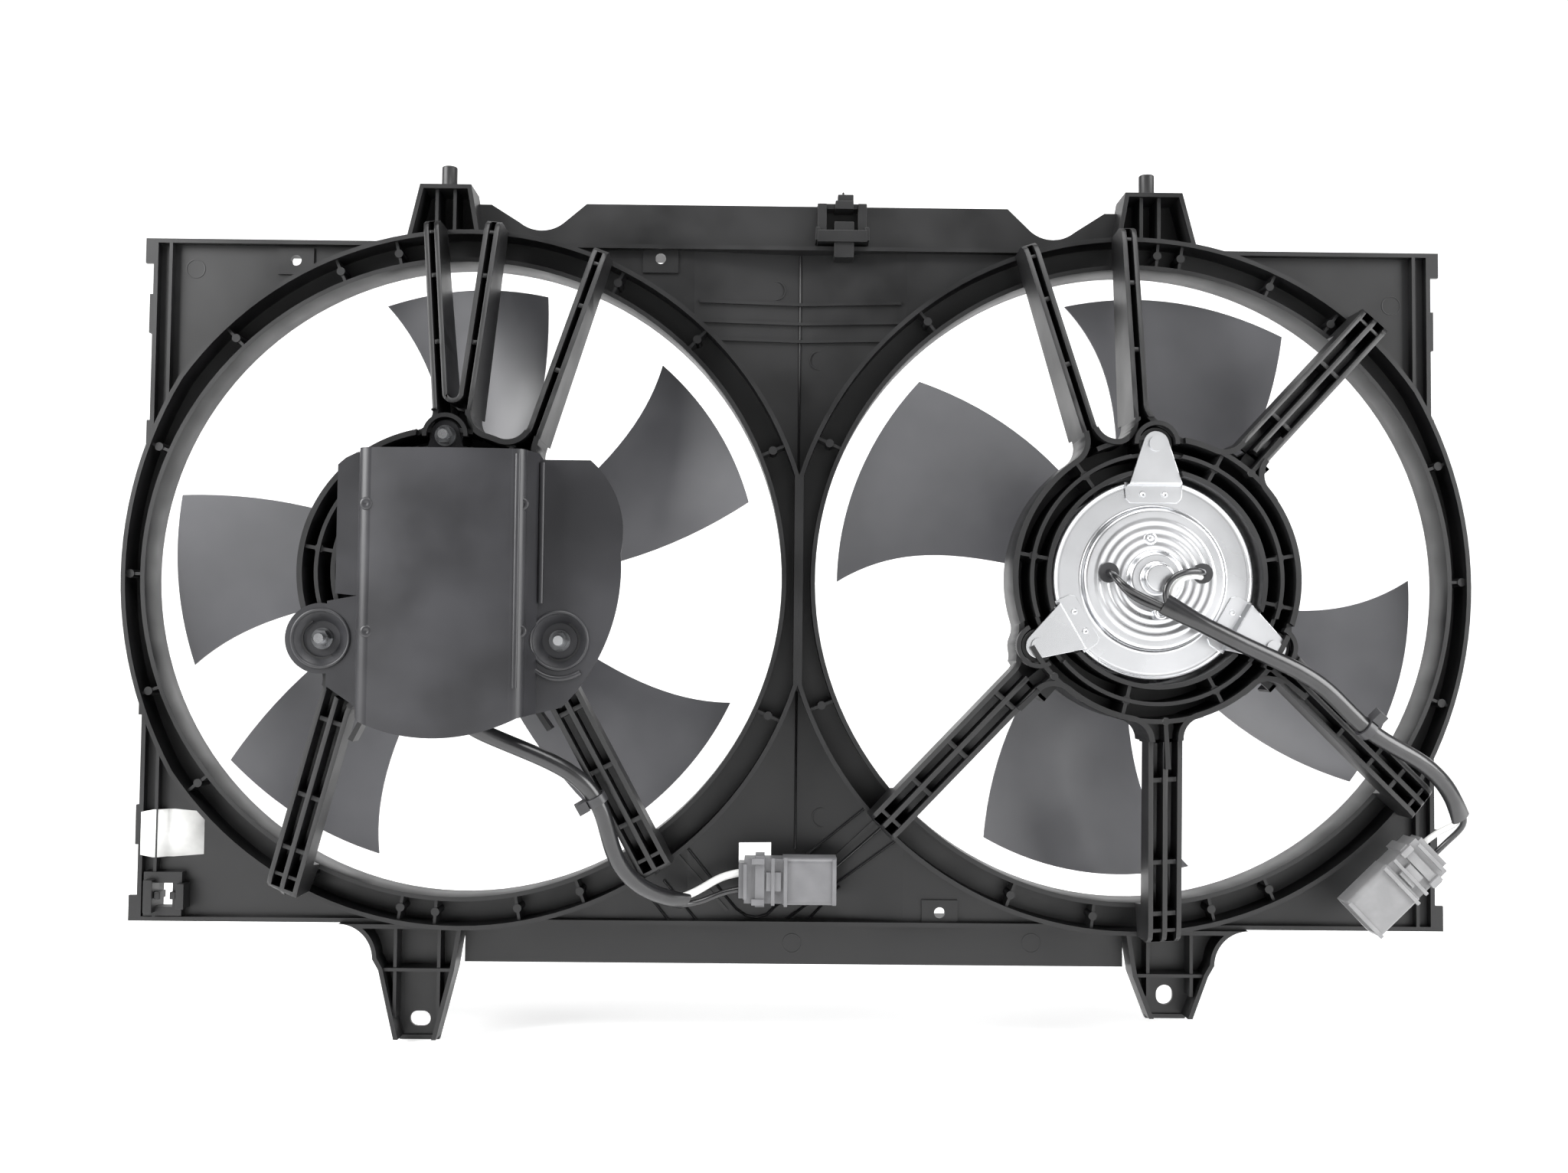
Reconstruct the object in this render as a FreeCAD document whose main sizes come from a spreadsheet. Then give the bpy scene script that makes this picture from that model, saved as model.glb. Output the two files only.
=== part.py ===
# Twin radiator fan and shroud: two ribbed ring-and-arm motor carriers in one moulded shroud, two
# bladed fans on permanent-magnet motors, a heat shield over the left motor and two cable tails.
#
# Everything is built in the fans' own frame: X to the right, Y away from the engine towards the
# radiator, Z up, zero midway between the two fan axes on the front rim of the rings. Each piece
# then gets the placement `home`, which moves zero to the midpoint between the two locating pins,
# on the shoulder that they stand on.
import math
import os

import FreeCAD
import Part
import Sketcher
from FreeCAD import Placement, Rotation, Vector

doc = FreeCAD.newDocument("RadiatorFanShroud")
sheet = doc.addObject("Spreadsheet::Sheet", "Sizes")

SIZES = {
    # the two fan positions and the mounting points
    "fanSpacing": 367.0, "fanShift": 1.65, "pinSpacing": 394.8, "pinHeight": 219.5,
    "pinDepth": 18.0, "pinRadius": 4.3, "pinLength": 13.0,
    "leftSlotDrop": 245.2, "rightSlotDrop": 228.9,
    # the shroud moulding
    "wall": 2.4, "mouldGap": 0.15, "ringBore": 174.4, "ringRim": 192.4, "ringFlat": 371.0,
    "ringSideRadius": 220.0,
    "ringDepth": 24.0, "plateFront": 19.0, "radiatorFace": 47.0,
    "boxLeft": 363.0, "boxRight": 355.5, "boxTop": 189.0, "boxBottom": 191.0,
    "lip": 4.5, "bandTop": 214.0, "bandBottom": 213.5, "bandDepth": 9.0,
    "ringRib": 1.6, "markRadius": 2.3,
    # the motor carriers
    "hubBore": 54.6, "hubRim": 74.4, "hubFront": 57.2, "hubBack": 24.5, "midRib": 64.5,
    "splitRadius": 84.0, "armFoot": 27.0, "armWall": 2.5, "narrowArm": 8.0, "wideArm": 17.5,
    "deepBackHub": 18.0, "deepBackRing": 3.0, "flatBackHub": 43.0, "flatBackRing": 13.0,
    "boltCircle": 70.0, "bossRadius": 8.5, "earSeat": 53.0,
    # the fans
    "fanTip": 161.5, "fanHub": 60.0, "fanHubFront": 6.5, "fanHubBack": 33.0, "fanSkin": 2.4,
    "bladeFront": 2.5, "bladeBack": 22.0, "bladeThick": 2.6,
    # the motors
    "canRadius": 50.5, "canBack": 5.0, "flangeRadius": 52.4, "flangeFront": 46.0, "sheetSteel": 1.4,
    "stepRadius": 36.8, "stepRise": 5.0, "domeRadius": 17.0, "domeRise": 3.0,
    "capRadius": 7.7, "capRise": 8.0, "shaftRadius": 4.0, "runClearance": 0.03,
    "seatGap": 0.05, "shaftHoleGap": 0.6, "leadHoleRise": 3.0, "bushLength": 9.0,
    "magnetThick": 9.5, "armatureRadius": 37.5,
    "armatureLength": 20.0, "commutatorRadius": 12.0, "commutatorLength": 13.0,
    "grommetReach": 24.3, "grommetRadius": 5.2, "earThick": 1.6,
    "studRadius": 2.5, "nutFlats": 8.0, "nutThick": 4.0, "washerRadius": 5.5, "washerThick": 1.0,
    # the heat shield
    "shieldSheet": 1.0, "shieldFront": 82.0, "shieldFlange": 60.0, "shieldWidth": 86.0,
    # the cables
    "sleeveRadius": 4.4, "leadRadius": 1.5,
}
for row, (alias, value) in enumerate(SIZES.items(), start=1):
    sheet.set(f"A{row}", alias)
    sheet.set(f"B{row}", str(value))
    sheet.setAlias(f"B{row}", alias)
doc.recompute()


class Size:
    """A sheet cell or a sum worked out from some: its value, and the text that binds to it."""

    def __init__(self, value, text):
        self.value = value
        self.text = text

    def __float__(self):
        return float(self.value)

    def __add__(self, other):
        return Size(float(self) + float(other), f"({self.text} + {written(other)})")

    def __sub__(self, other):
        return Size(float(self) - float(other), f"({self.text} - {written(other)})")

    def __rsub__(self, other):
        return Size(float(other) - float(self), f"({written(other)} - {self.text})")

    def __mul__(self, other):
        return Size(float(self) * float(other), f"({self.text} * {written(other)})")

    def __truediv__(self, other):
        return Size(float(self) / float(other), f"({self.text} / {written(other)})")

    def __neg__(self):
        return Size(-float(self), f"(-1 * {self.text})")

    __radd__ = __add__
    __rmul__ = __mul__


def written(number):
    return number.text if isinstance(number, Size) else repr(float(number))


def size(alias):
    return Size(SIZES[alias], f"Sizes.{alias}")


def num(alias):
    return SIZES[alias]


home = Placement(Vector(num("fanShift"), -num("pinDepth"), -num("pinHeight")), Rotation())
nodes = []                        # the finished sub-parts, in the order they are written
SIDES = {"left": -1, "right": 1}


# ---------------------------------------------------------------- sheet-bound document objects
def bind(thing, prop, number):
    if isinstance(number, Size):
        thing.setExpression(prop, number.text)
    else:
        setattr_path(thing, prop, float(number))


def setattr_path(thing, prop, number):
    if prop.startswith("Placement.Base."):
        base = thing.Placement.Base
        setattr(base, prop[-1], number)
        thing.Placement = Placement(base, thing.Placement.Rotation)
    else:
        setattr(thing, prop, number)


def place(thing, x, y, z):
    for axis, number in zip("xyz", (x, y, z)):
        bind(thing, f"Placement.Base.{axis}", number)
    return thing


def rod(name, radius, front, back, x=0.0, z=0.0):
    """A cylinder along Y from front to back."""
    thing = doc.addObject("Part::Cylinder", name)
    thing.Placement = Placement(Vector(), Rotation(Vector(1, 0, 0), -90))
    bind(thing, "Radius", radius)
    bind(thing, "Height", back - front)
    return place(thing, x, front, z)


def hexagon(name, flats, front, back, x, z):
    thing = doc.addObject("Part::Prism", name)
    thing.Polygon = 6
    thing.Placement = Placement(Vector(), Rotation(Vector(1, 0, 0), -90))
    bind(thing, "Circumradius", flats / math.sqrt(3))
    bind(thing, "Height", back - front)
    return place(thing, x, front, z)


def block(name, x, y, z):
    """A box from three pairs of limits."""
    thing = doc.addObject("Part::Box", name)
    bind(thing, "Length", x[1] - x[0])
    bind(thing, "Width", y[1] - y[0])
    bind(thing, "Height", z[1] - z[0])
    return place(thing, x[0], y[0], z[0])


def cut(name, base, tool):
    thing = doc.addObject("Part::Cut", name)
    thing.Base = base
    thing.Tool = tool
    return thing


def fuse(name, things):
    thing = doc.addObject("Part::MultiFuse", name)
    thing.Shapes = things
    return thing


def group(name, things):
    """Separate like solids in one node."""
    thing = doc.addObject("Part::Compound", name)
    thing.Links = things
    return thing


def finish(thing, label):
    thing.Label = label
    thing.Placement = home
    nodes.append(thing)
    return thing


def feature(label, shape):
    """A sub-part whose shape is made by Part's own functions."""
    thing = doc.addObject("Part::Feature", label)
    thing.Shape = shape
    thing.Label = label
    thing.Placement = home.multiply(thing.Placement)
    nodes.append(thing)
    return thing


def turned(label, outline, x=0.0, keep=True):
    """A body turned about Y from its half section, given as (radius, y) corners."""
    body = doc.addObject("PartDesign::Body", label + "_body")
    sketch = body.newObject("Sketcher::SketchObject", label + "_section")
    plane = [item for item in body.Origin.OriginFeatures if item.Role == "XY_Plane"][0]
    sketch.AttachmentSupport = [(plane, "")]
    sketch.MapMode = "FlatFace"
    draw(sketch, outline)
    turn = body.newObject("PartDesign::Revolution", label + "_turn")
    turn.Profile = sketch
    turn.ReferenceAxis = (sketch, ["V_Axis"])
    turn.Angle = 360
    body.Tip = turn
    if not keep:
        return body
    body.Label = label
    body.Placement = Placement(home.Base + Vector(float(x), 0, 0), Rotation())
    nodes.append(body)
    return body


def draw(sketch, outline):
    """A closed outline of straight lines, each corner held by two sheet-bound distances."""
    corners = [Vector(float(a), float(b), 0) for a, b in outline]
    count = len(corners)
    for i, corner in enumerate(corners):
        sketch.addGeometry(Part.LineSegment(corner, corners[(i + 1) % count]), False)
    for i in range(count):
        sketch.addConstraint(Sketcher.Constraint("Coincident", i, 2, (i + 1) % count, 1))
    for i, pair in enumerate(outline):
        for kind, number in zip(("DistanceX", "DistanceY"), pair):
            index = sketch.addConstraint(Sketcher.Constraint(kind, -1, 1, i, 1, float(number)))
            if isinstance(number, Size):
                sketch.setExpression(f"Constraints[{index}]", number.text)


# ---------------------------------------------------------------- shapes made with Part's functions
def flat(points):
    """A face in the XZ plane. A point is (x, z), or (x, z, via_x, via_z) at the end of an arc."""
    edges = []
    last = Vector(points[-1][0], 0, points[-1][1])
    for point in points:
        here = Vector(point[0], 0, point[1])
        if len(point) == 4:
            edges.append(Part.Arc(last, Vector(point[2], 0, point[3]), here).toShape())
        elif (here - last).Length > 1e-6:
            edges.append(Part.LineSegment(last, here).toShape())
        last = here
    return Part.Face(Part.Wire(edges))


def disc(radius, x=0.0, z=0.0):
    return Part.Face(Part.Wire(Part.Circle(Vector(x, 0, z), Vector(0, -1, 0), radius).toShape()))


def thick(face, front, back):
    solid = face.extrude(Vector(0, back - front, 0))
    solid.translate(Vector(0, front, 0))
    return solid


def drum(radius, front, back, x=0.0, z=0.0):
    return Part.makeCylinder(radius, back - front, Vector(x, front, z), Vector(0, 1, 0))


def pipe(outer, inner, front, back):
    return drum(outer, front, back).cut(drum(inner, front - 1, back + 1))


def slab(x0, x1, y0, y1, z0, z1):
    return Part.makeBox(x1 - x0, y1 - y0, z1 - z0, Vector(x0, y0, z0))


def revolved(outline):
    """A solid turned about Y from (radius, y) corners."""
    corners = [Vector(radius, y, 0) for radius, y in outline]
    face = Part.Face(Part.makePolygon(corners + corners[:1]))
    return face.revolve(Vector(), Vector(0, 1, 0), 360)


def spun(shape, angle):
    """The shape turned about the fan axis, anticlockwise as the engine side sees it."""
    turned_shape = shape.copy()
    turned_shape.rotate(Vector(), Vector(0, -1, 0), angle)
    return turned_shape


def at_fan(shape, side):
    moved = shape.copy()
    moved.translate(Vector(SIDES[side] * num("fanSpacing") / 2, 0, 0))
    return moved


def joined(shapes):
    whole = shapes[0].fuse(shapes[1:]) if len(shapes) > 1 else shapes[0]
    return whole.removeSplitter()


def united(faces):
    """One face that covers several overlapping faces of the XZ plane."""
    solid = joined([thick(face, 0, 1) for face in faces])
    return max((face for face in solid.Faces if face.BoundBox.YMax < 0.01), key=face_area)


def face_area(face):
    return face.Area


def polar(radius, angle):
    return radius * math.cos(math.radians(angle)), radius * math.sin(math.radians(angle))


# ---------------------------------------------------------------- the two ring channels
RIB_ANGLES = {
    "left": (23, 46.5, 63.5, 102.5, 113, 134.5, 157.5, 180, 200.5, 218.5, 243.5, 260, 266, 280, 291, 336),
    "right": (0.8, 21.4, 52.6, 65, 81.3, 85.4, 128, 155.5, 202, 225, 249, 263.5, 284, 294.5, 339.5),
}


def ring_outline(side):
    """The ring's outer outline: round, cut straight midway and a little flatter at its outer side."""
    sign, half, rim = SIDES[side], num("fanSpacing") / 2, num("ringRim")
    inner, beyond = -sign * half, sign * (rim + 1)
    square = flat(((inner, -rim - 1), (beyond, -rim - 1), (beyond, rim + 1), (inner, rim + 1)))
    outer_side = disc(num("ringSideRadius"), sign * (num("ringFlat") - half - num("ringSideRadius")))
    return disc(rim).common(square).common(outer_side).Faces[0]


def ring_space(side, front, back):
    """The room a ring's channel takes up, with the gap between mouldings."""
    grown = ring_outline(side).makeOffset2D(num("mouldGap"), 0, False, False, False)
    return at_fan(thick(grown, front, back), side)


def ring(side):
    """A channel open to the engine side, with thin cross ribs that carry a moulding pip each."""
    wall, bore, rim = num("wall"), num("ringBore"), num("ringRim")
    depth, floor = num("ringDepth"), num("plateFront")
    outline = ring_outline(side)
    inside = outline.makeOffset2D(-wall, 0, False, False, False)
    pieces = [
        thick(outline, 0, floor).cut(thick(inside, -1, floor + 1)),
        thick(outline, floor - wall, floor).cut(drum(bore, -1, floor + 1)),
        pipe(bore + wall, bore, 0, depth)]
    rib = num("ringRib")
    channel = thick(outline, 2, floor - wall / 2)
    for angle in RIB_ANGLES[side]:
        web = slab(bore + wall / 2, rim - wall / 2, 3, floor - wall / 2, -rib / 2, rib / 2)
        pip = drum(num("markRadius"), 2.5, floor - wall / 2, (bore + rim) / 2, 0)
        pieces += [spun(web, angle).common(channel), spun(pip, angle).common(channel)]
    return joined(pieces)


for side in SIDES:
    feature(f"{side}_ring", at_fan(ring(side), side))


# ---------------------------------------------------------------- the motor carriers
# Each arm: where it meets the ring and the hub, in degrees, and whether it is the narrow deep
# kind of two walls or the wide flat kind of three walls with cross ribs at the given radii.
ARMS = {
    "left": (
        (94.9, 91.5, "narrow", ()), (84.9, 83.5, "narrow", ()), (66.9, 55.4, "narrow", ()),
        (-55.2, -42.0, "wide", (98, 132, 164)), (-117.6, -132.0, "wide", (98, 140, 170)),
    ),
    "right": (
        (108.5, 115.5, "narrow", ()), (92.2, 95.8, "narrow", ()),
        (48.4, 53.4, "wide", (108, 150)), (-38.1, -33.4, "wide", (100, 128, 152, 170)),
        (-86.5, -86.8, "wide", (104, 148, 176)), (-136.2, -143.4, "wide", (100, 135, 162)),
    ),
}
EAR_ANGLES = (90, 210, 330)
HUB_RIBS = (62, 10, -12, -62, -104, 125, 170)


def strip(arm, side_offset, width, start, stop):
    """A straight strip along an arm, offset sideways, between two radii."""
    ring_angle, hub_angle = arm[0], arm[1]
    near = Vector(polar(num("hubRim"), hub_angle)[0], 0, polar(num("hubRim"), hub_angle)[1])
    far = Vector(polar(num("ringRim"), ring_angle)[0], 0, polar(num("ringRim"), ring_angle)[1])
    along = (far - near).normalize()
    across = Vector(-along.z, 0, along.x)
    base = near + across * side_offset
    a, b = start - num("hubRim"), stop - num("hubRim")
    corners = [base + along * a - across * (width / 2), base + along * b - across * (width / 2),
               base + along * b + across * (width / 2), base + along * a + across * (width / 2)]
    return Part.Face(Part.makePolygon(corners + corners[:1]))


def arm_width(arm):
    return num("narrowArm") if arm[2] == "narrow" else num("wideArm")


def closed(face, radius):
    """The face with its inner corners rounded to a radius."""
    grown = face.makeOffset2D(radius, 0, False, False, False)
    return grown.makeOffset2D(-radius, 0, False, False, False)


def carrier_outline(side):
    """Hub, ear pockets and arms in one outline, with every inner corner rounded."""
    boss = num("bossRadius") + 3.2
    hub = united([disc(num("hubRim")),
                  *(disc(boss, *polar(num("boltCircle"), angle)) for angle in EAR_ANGLES)])
    reach = num("ringRim") + 2
    fingers = [closed(united([hub, strip(arm, 0, arm_width(arm), 50, reach)]), 11).Faces[0]
               for arm in ARMS[side]]
    return closed(united(fingers), 3)


def envelope(kind):
    """The space between the front cone and the back cone of a carrier."""
    rim, bore = num("ringRim"), num("ringBore")
    deep = kind == "narrow"
    back_hub = -num("deepBackHub") if deep else -num("flatBackHub")
    back_ring = -num("deepBackRing") if deep else -num("flatBackRing")
    return revolved((
        (0, -num("hubFront")), (num("hubRim"), -num("hubFront")), (rim - 7, -num("armFoot")),
        (rim - 2.5, -num("armFoot") + 2.5), (rim, -num("armFoot") + 8), (rim, 0),
        (bore, 0), (bore - 1.5, back_ring), (num("hubRim"), back_hub), (0, back_hub)))


def floor_skin(kind):
    """The thin floor of an arm's channel, along its back cone."""
    deep = kind == "narrow"
    back_hub = -num("deepBackHub") if deep else -num("flatBackHub")
    back_ring = -num("deepBackRing") if deep else -num("flatBackRing")
    skin = num("armWall")
    bore, rim = num("ringBore"), num("ringRim")
    return revolved((
        (60, back_hub), (num("hubRim"), back_hub), (bore - 1.5, back_ring), (bore, 0), (rim, 0),
        (rim, -skin), (bore, back_ring - skin), (num("hubRim"), back_hub - skin),
        (60, back_hub - skin)))


def wedge(side, index):
    """The sector that belongs to one arm, up to midway to its neighbours."""
    order = sorted(range(len(ARMS[side])), key=lambda i: ARMS[side][i][0] % 360)
    here = order.index(index)
    angle = ARMS[side][index][0] % 360
    after = ARMS[side][order[(here + 1) % len(order)]][0] % 360
    before = ARMS[side][order[here - 1]][0] % 360
    high = angle + ((after - angle) % 360) / 2
    low = angle - ((angle - before) % 360) / 2
    steps = 6
    points = [(0, 0)] + [polar(400, low + (high - low) * i / steps) for i in range(steps + 1)]
    return flat(points)


def arm_solid(side, index, outline):
    arm = ARMS[side][index]
    kind = arm[2]
    area = outline.common(wedge(side, index))
    wall = num("armWall")
    inner = outline.makeOffset2D(-wall, 0, False, False, False)
    front, back = -num("hubFront") - 1, 1
    walls = thick(area, front, back).cut(thick(inner, front - 1, back + 1))
    pieces = [walls.common(envelope(kind)), thick(area, front, back).common(floor_skin(kind))]
    if kind == "wide":
        middle = thick(strip(arm, 0, wall, 50, num("ringRim") + 5), front, back)
        pieces.append(middle.common(envelope(kind)))
    rest = envelope(kind)
    rest.translate(Vector(0, 3.0, 0))
    for radius in arm[3] or (122, 160):
        cross = thick(strip(arm, 0, arm_width(arm) - 1, radius - wall / 2, radius + wall / 2), front, back)
        pieces.append(cross.common(rest).common(envelope(kind)))
    end = thick(strip(arm, 0, arm_width(arm) - 1, num("ringRim") - 8, num("ringRim") - 6), front, back)
    pieces.append(end.common(rest).common(envelope(kind)))
    whole = joined(pieces)
    return whole.cut(drum(num("splitRadius"), front - 1, back + 1))


def hub_solid(side, outline):
    front, back = -num("hubFront"), -num("hubBack")
    wall = num("wall")
    area = outline.common(disc(num("splitRadius")))
    inner = outline.makeOffset2D(-wall - 0.4, 0, False, False, False)
    tall = thick(area, front, back)
    outer_wall = tall.cut(thick(inner, front - 1, back + 1))
    floor = thick(area, back - wall, back)
    mid = pipe(num("midRib") + 1, num("midRib") - 1, front, back)
    bore_wall = pipe(num("hubBore") + wall, num("hubBore"), front, back)
    pieces = [outer_wall, floor, mid, bore_wall]
    for angle in HUB_RIBS:
        web = slab(num("hubBore") + 1, num("hubRim") - 1, front + 1.5, back, -0.9, 0.9)
        mark = drum(num("markRadius"), front + 1.5, back, num("midRib"), 0)
        pieces += [spun(web, angle), spun(mark, angle)]
    whole = joined(pieces)
    # the ears sit in pockets, on a boss each
    pocket = thick(ear_outline(1.6), front - 1, -num("earSeat"))
    dish = drum(14.8, front - 1, -num("earSeat"), 0, num("boltCircle"))
    for angle in EAR_ANGLES:
        whole = whole.cut(spun(pocket, angle - 90)).cut(spun(dish, angle - 90))
        boss = drum(num("bossRadius"), -num("earSeat"), back, *polar(num("boltCircle"), angle))
        whole = whole.fuse(boss)
    for angle in EAR_ANGLES:
        hole = drum(num("studRadius") + 0.05, front - 5, back - 1.5, *polar(num("boltCircle"), angle))
        whole = whole.cut(hole)
    return whole.cut(drum(num("hubBore"), front - 5, back + 5)).removeSplitter()


def ear_outline(grow):
    """The pointed ear of a motor bracket, pointing up, larger all round by `grow`."""
    base, tip = 13.0 + grow, 7.2 + grow
    low, high = num("flangeRadius") - 2.4, num("boltCircle")
    return flat(((-base, low - grow), (base, low - grow), (tip, high + 1),
                 (-tip, high + 1, 0, high + 1 + tip)))


for side in SIDES:
    outline = carrier_outline(side)
    feature(f"{side}_hub_ring", at_fan(hub_solid(side, outline), side))
    arms = [arm_solid(side, i, outline) for i in range(len(ARMS[side]))]
    feature(f"{side}_arms", at_fan(Part.makeCompound(arms), side))


# ---------------------------------------------------------------- the fans
# The blades are unevenly spaced. Each fan: the angles of its blades' pointed leading tips, the
# angle a blade covers at its tip, how much more it covers at the hub, and how far the leading
# edge sweeps forward, in degrees.
FANS = {
    "left": {"tips": (108, 49, -25, -107.5, -162), "chord": 33.6, "growth": 12.0, "sweep": 7.4},
    "right": {"tips": (102, 180, -76.7, 1.5), "chord": 43.3, "growth": 17.0, "sweep": 10.4},
}


def blade(fan):
    """One twisted, cambered blade lofted through plane sections, its middle along +X."""
    tip, root = num("fanTip"), num("fanHub")
    middle = -fan["chord"] / 2

    def leading(radius):
        inward = (tip - radius) / (tip - root)
        return -fan["sweep"] * (1 - (1 - inward) ** 2.3 if inward < 1 else 1) - middle

    def trailing(radius):
        inward = (tip - radius) / (tip - root)
        return -fan["chord"] - fan["growth"] * inward - middle

    def crossing(edge, plane):
        radius = plane
        for _ in range(25):
            radius = plane / math.cos(math.radians(edge(min(radius, tip * 1.12))))
        return plane * math.tan(math.radians(edge(min(radius, tip * 1.12))))

    sections = []
    planes = [root * 0.72 + (tip * 1.01 - root * 0.72) * i / 6 for i in range(7)]
    for plane in planes:
        outward = (plane - root) / (tip - root)
        t_trail, t_lead = crossing(trailing, plane), crossing(leading, plane)
        y_trail = num("bladeFront") + 4.0 * (1 - outward)
        y_lead = num("bladeBack") + 6.0 * (1 - outward)
        camber = 6.5 - 2.0 * outward
        front_side, back_side = [], []
        for i in range(5):
            u = i / 4
            t = t_trail + (t_lead - t_trail) * u
            y = y_trail + (y_lead - y_trail) * u + camber * 4 * u * (1 - u)
            half = num("bladeThick") / 2 * (0.55 + 0.45 * math.sin(math.pi * u))
            front_side.append(Vector(plane, y - half, t))
            back_side.append(Vector(plane, y + half, t))
        curves = []
        for side_points in (front_side, back_side[::-1]):
            curve = Part.BSplineCurve()
            curve.interpolate(side_points)
            curves.append(curve.toShape())
        ends = [Part.LineSegment(front_side[-1], back_side[-1]).toShape(),
                Part.LineSegment(back_side[0], front_side[0]).toShape()]
        sections.append(Part.Wire([curves[0], ends[0], curves[1], ends[1]]))
    loft = Part.makeLoft(sections, True, False)
    trimmed = loft.common(drum(tip, -5, 60)).cut(drum(root - num("fanSkin") / 2, -5, 60))
    return spun(trimmed, middle)


def fan_moulding(side):
    fan = FANS[side]
    hub, skin = num("fanHub"), num("fanSkin")
    front, back = num("fanHubFront"), num("fanHubBack")
    bore = num("shaftRadius") + 0.05
    cup = revolved((
        (hub, front), (hub, back - 4), (hub - 1.2, back - 1.2), (hub - 4, back), (bore, back),
        (bore, front + 4), (11, front + 4), (12.5, back - skin), (hub - skin, back - skin),
        (hub - skin, front)))
    pieces = [cup]
    one_blade = blade(fan)
    for tip_angle in fan["tips"]:
        pieces.append(spun(one_blade, tip_angle))
    for i in range(10):
        pieces.append(spun(slab(11, hub - 1, back - 14, back - 1, -0.9, 0.9), 36 * i))
    whole = pieces[0].fuse(pieces[1:])
    return whole


for side in SIDES:
    feature(f"{side}_fan", at_fan(fan_moulding(side), side))


# ---------------------------------------------------------------- the motors
def build_motor(side):
    x = SIDES[side] * size("fanSpacing") / 2
    steel, gap = size("sheetSteel"), size("runClearance")
    shaft, bush = size("shaftRadius"), size("capRadius") - steel
    flange_y = -size("flangeFront")
    cover_y = flange_y - steel
    step_y = cover_y - size("stepRise")
    dome_y = step_y - size("domeRise")
    cap_y = dome_y - size("capRise")
    back = size("canBack")
    can, edge = size("canRadius"), size("flangeRadius")
    cup = bush + size("seatGap")
    hole = shaft + size("shaftHoleGap")
    # the drawn can, with its rolled flange and the cup of its rear bearing
    turned(f"{side}_motor_can", (
        (edge, flange_y), (edge, flange_y + steel), (can, flange_y + steel), (can, back),
        (hole, back), (hole, back - steel), (cup, back - steel),
        (cup, back - steel - size("bushLength")), (cup + steel, back - steel - size("bushLength")),
        (cup + steel, back - steel), (can - steel, back - steel), (can - steel, flange_y)), x)
    # the stepped end cover that faces the engine, with the two lead holes
    cover = turned(f"{side}_cover", (
        (edge, flange_y), (edge, cover_y), (size("stepRadius") + 2, cover_y),
        (size("stepRadius"), step_y), (size("domeRadius") + 2, step_y),
        (size("domeRadius") - 3, dome_y), (size("capRadius") + 1, dome_y),
        (size("capRadius"), cap_y), (0, cap_y), (0, cap_y + steel), (bush + size("seatGap"), cap_y + steel),
        (bush + size("seatGap"), dome_y + steel), (size("domeRadius") - 4, dome_y + steel),
        (size("domeRadius") + 1, step_y + steel), (size("stepRadius") - steel, step_y + steel),
        (size("stepRadius"), flange_y)), x, keep=False)
    neck = size("grommetRadius") - 1.2
    lead_z = size("leadHoleRise")
    reach = size("grommetReach")
    holes = [rod(f"{side}_lead_hole_{i}", neck + size("seatGap"), step_y - 4, step_y + 6, sign * reach, lead_z)
             for i, sign in enumerate((-1, 1))]
    drilled = cut(f"{side}_cover_drilled", cover, fuse(f"{side}_lead_holes", holes))
    finish(drilled, f"{side}_motor_cover")
    drilled.Placement = Placement(home.Base + Vector(float(x), 0, 0), Rotation())
    # rubber grommets in the lead holes, each bored for its lead
    grommets = []
    for i, sign in enumerate((-1, 1)):
        spool = fuse(f"{side}_spool_{i}", [
            rod(f"{side}_spool_front_{i}", size("grommetRadius"), step_y - 1.8, step_y, sign * reach + x, lead_z),
            rod(f"{side}_spool_neck_{i}", neck, step_y - 1.8, step_y + steel + 1.2, sign * reach + x, lead_z)])
        bore = rod(f"{side}_grommet_bore_{i}", size("leadRadius") + 0.1, step_y - 3, step_y + 6,
                   sign * reach + x, lead_z)
        grommets.append(cut(f"{side}_grommet_{i}", spool, bore))
    finish(group(f"{side}_grommet_pair", grommets), f"{side}_motor_grommets")
    # two sintered bushes, one in the cap and one in the can's cup
    bush_solids = []
    for i, start in enumerate((cap_y + steel, back - steel - size("bushLength"))):
        sleeve = rod(f"{side}_bush_outside_{i}", bush, start, start + size("bushLength"), x)
        bore = rod(f"{side}_bush_bore_{i}", shaft + gap, start - 1, start + size("bushLength") + 1, x)
        bush_solids.append(cut(f"{side}_bush_{i}", sleeve, bore))
    finish(group(f"{side}_bush_pair", bush_solids), f"{side}_motor_bushes")
    # four magnet segments against the can's wall
    inner, outer = float(can - steel) - num("magnetThick"), float(can - steel) - num("seatGap")
    shell = pipe(outer, inner, float(flange_y) + 10, float(back) - 9)
    segments = []
    for quarter in range(4):
        sector = flat([(0, 0)] + [polar(90, 45 + 90 * quarter + turn) for turn in (-37, -12, 12, 37)])
        segments.append(shell.common(thick(sector, float(flange_y), float(back))))
    feature(f"{side}_motor_magnets", at_fan(Part.makeCompound(segments), side))
    # the brush card behind the cover, and its two brushes
    card_y = flange_y + 3
    card = cut(f"{side}_card", rod(f"{side}_card_disc", can - steel - size("seatGap"), card_y, card_y + 1.6, x),
               rod(f"{side}_card_hole", size("commutatorRadius") + 1.5, card_y - 1, card_y + 3, x))
    finish(card, f"{side}_brush_card")
    brushes = []
    start = float(size("commutatorRadius")) + 0.3
    for i, sign in enumerate((-1, 1)):
        limits = (x + start, x + (start + 14)) if sign > 0 else (x - (start + 14), x - start)
        brushes.append(block(f"{side}_brush_{i}", limits, (card_y + 1.6, card_y + 7.6), (-3.5, 3.5)))
    finish(group(f"{side}_brush_pair", brushes), f"{side}_brushes")
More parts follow.
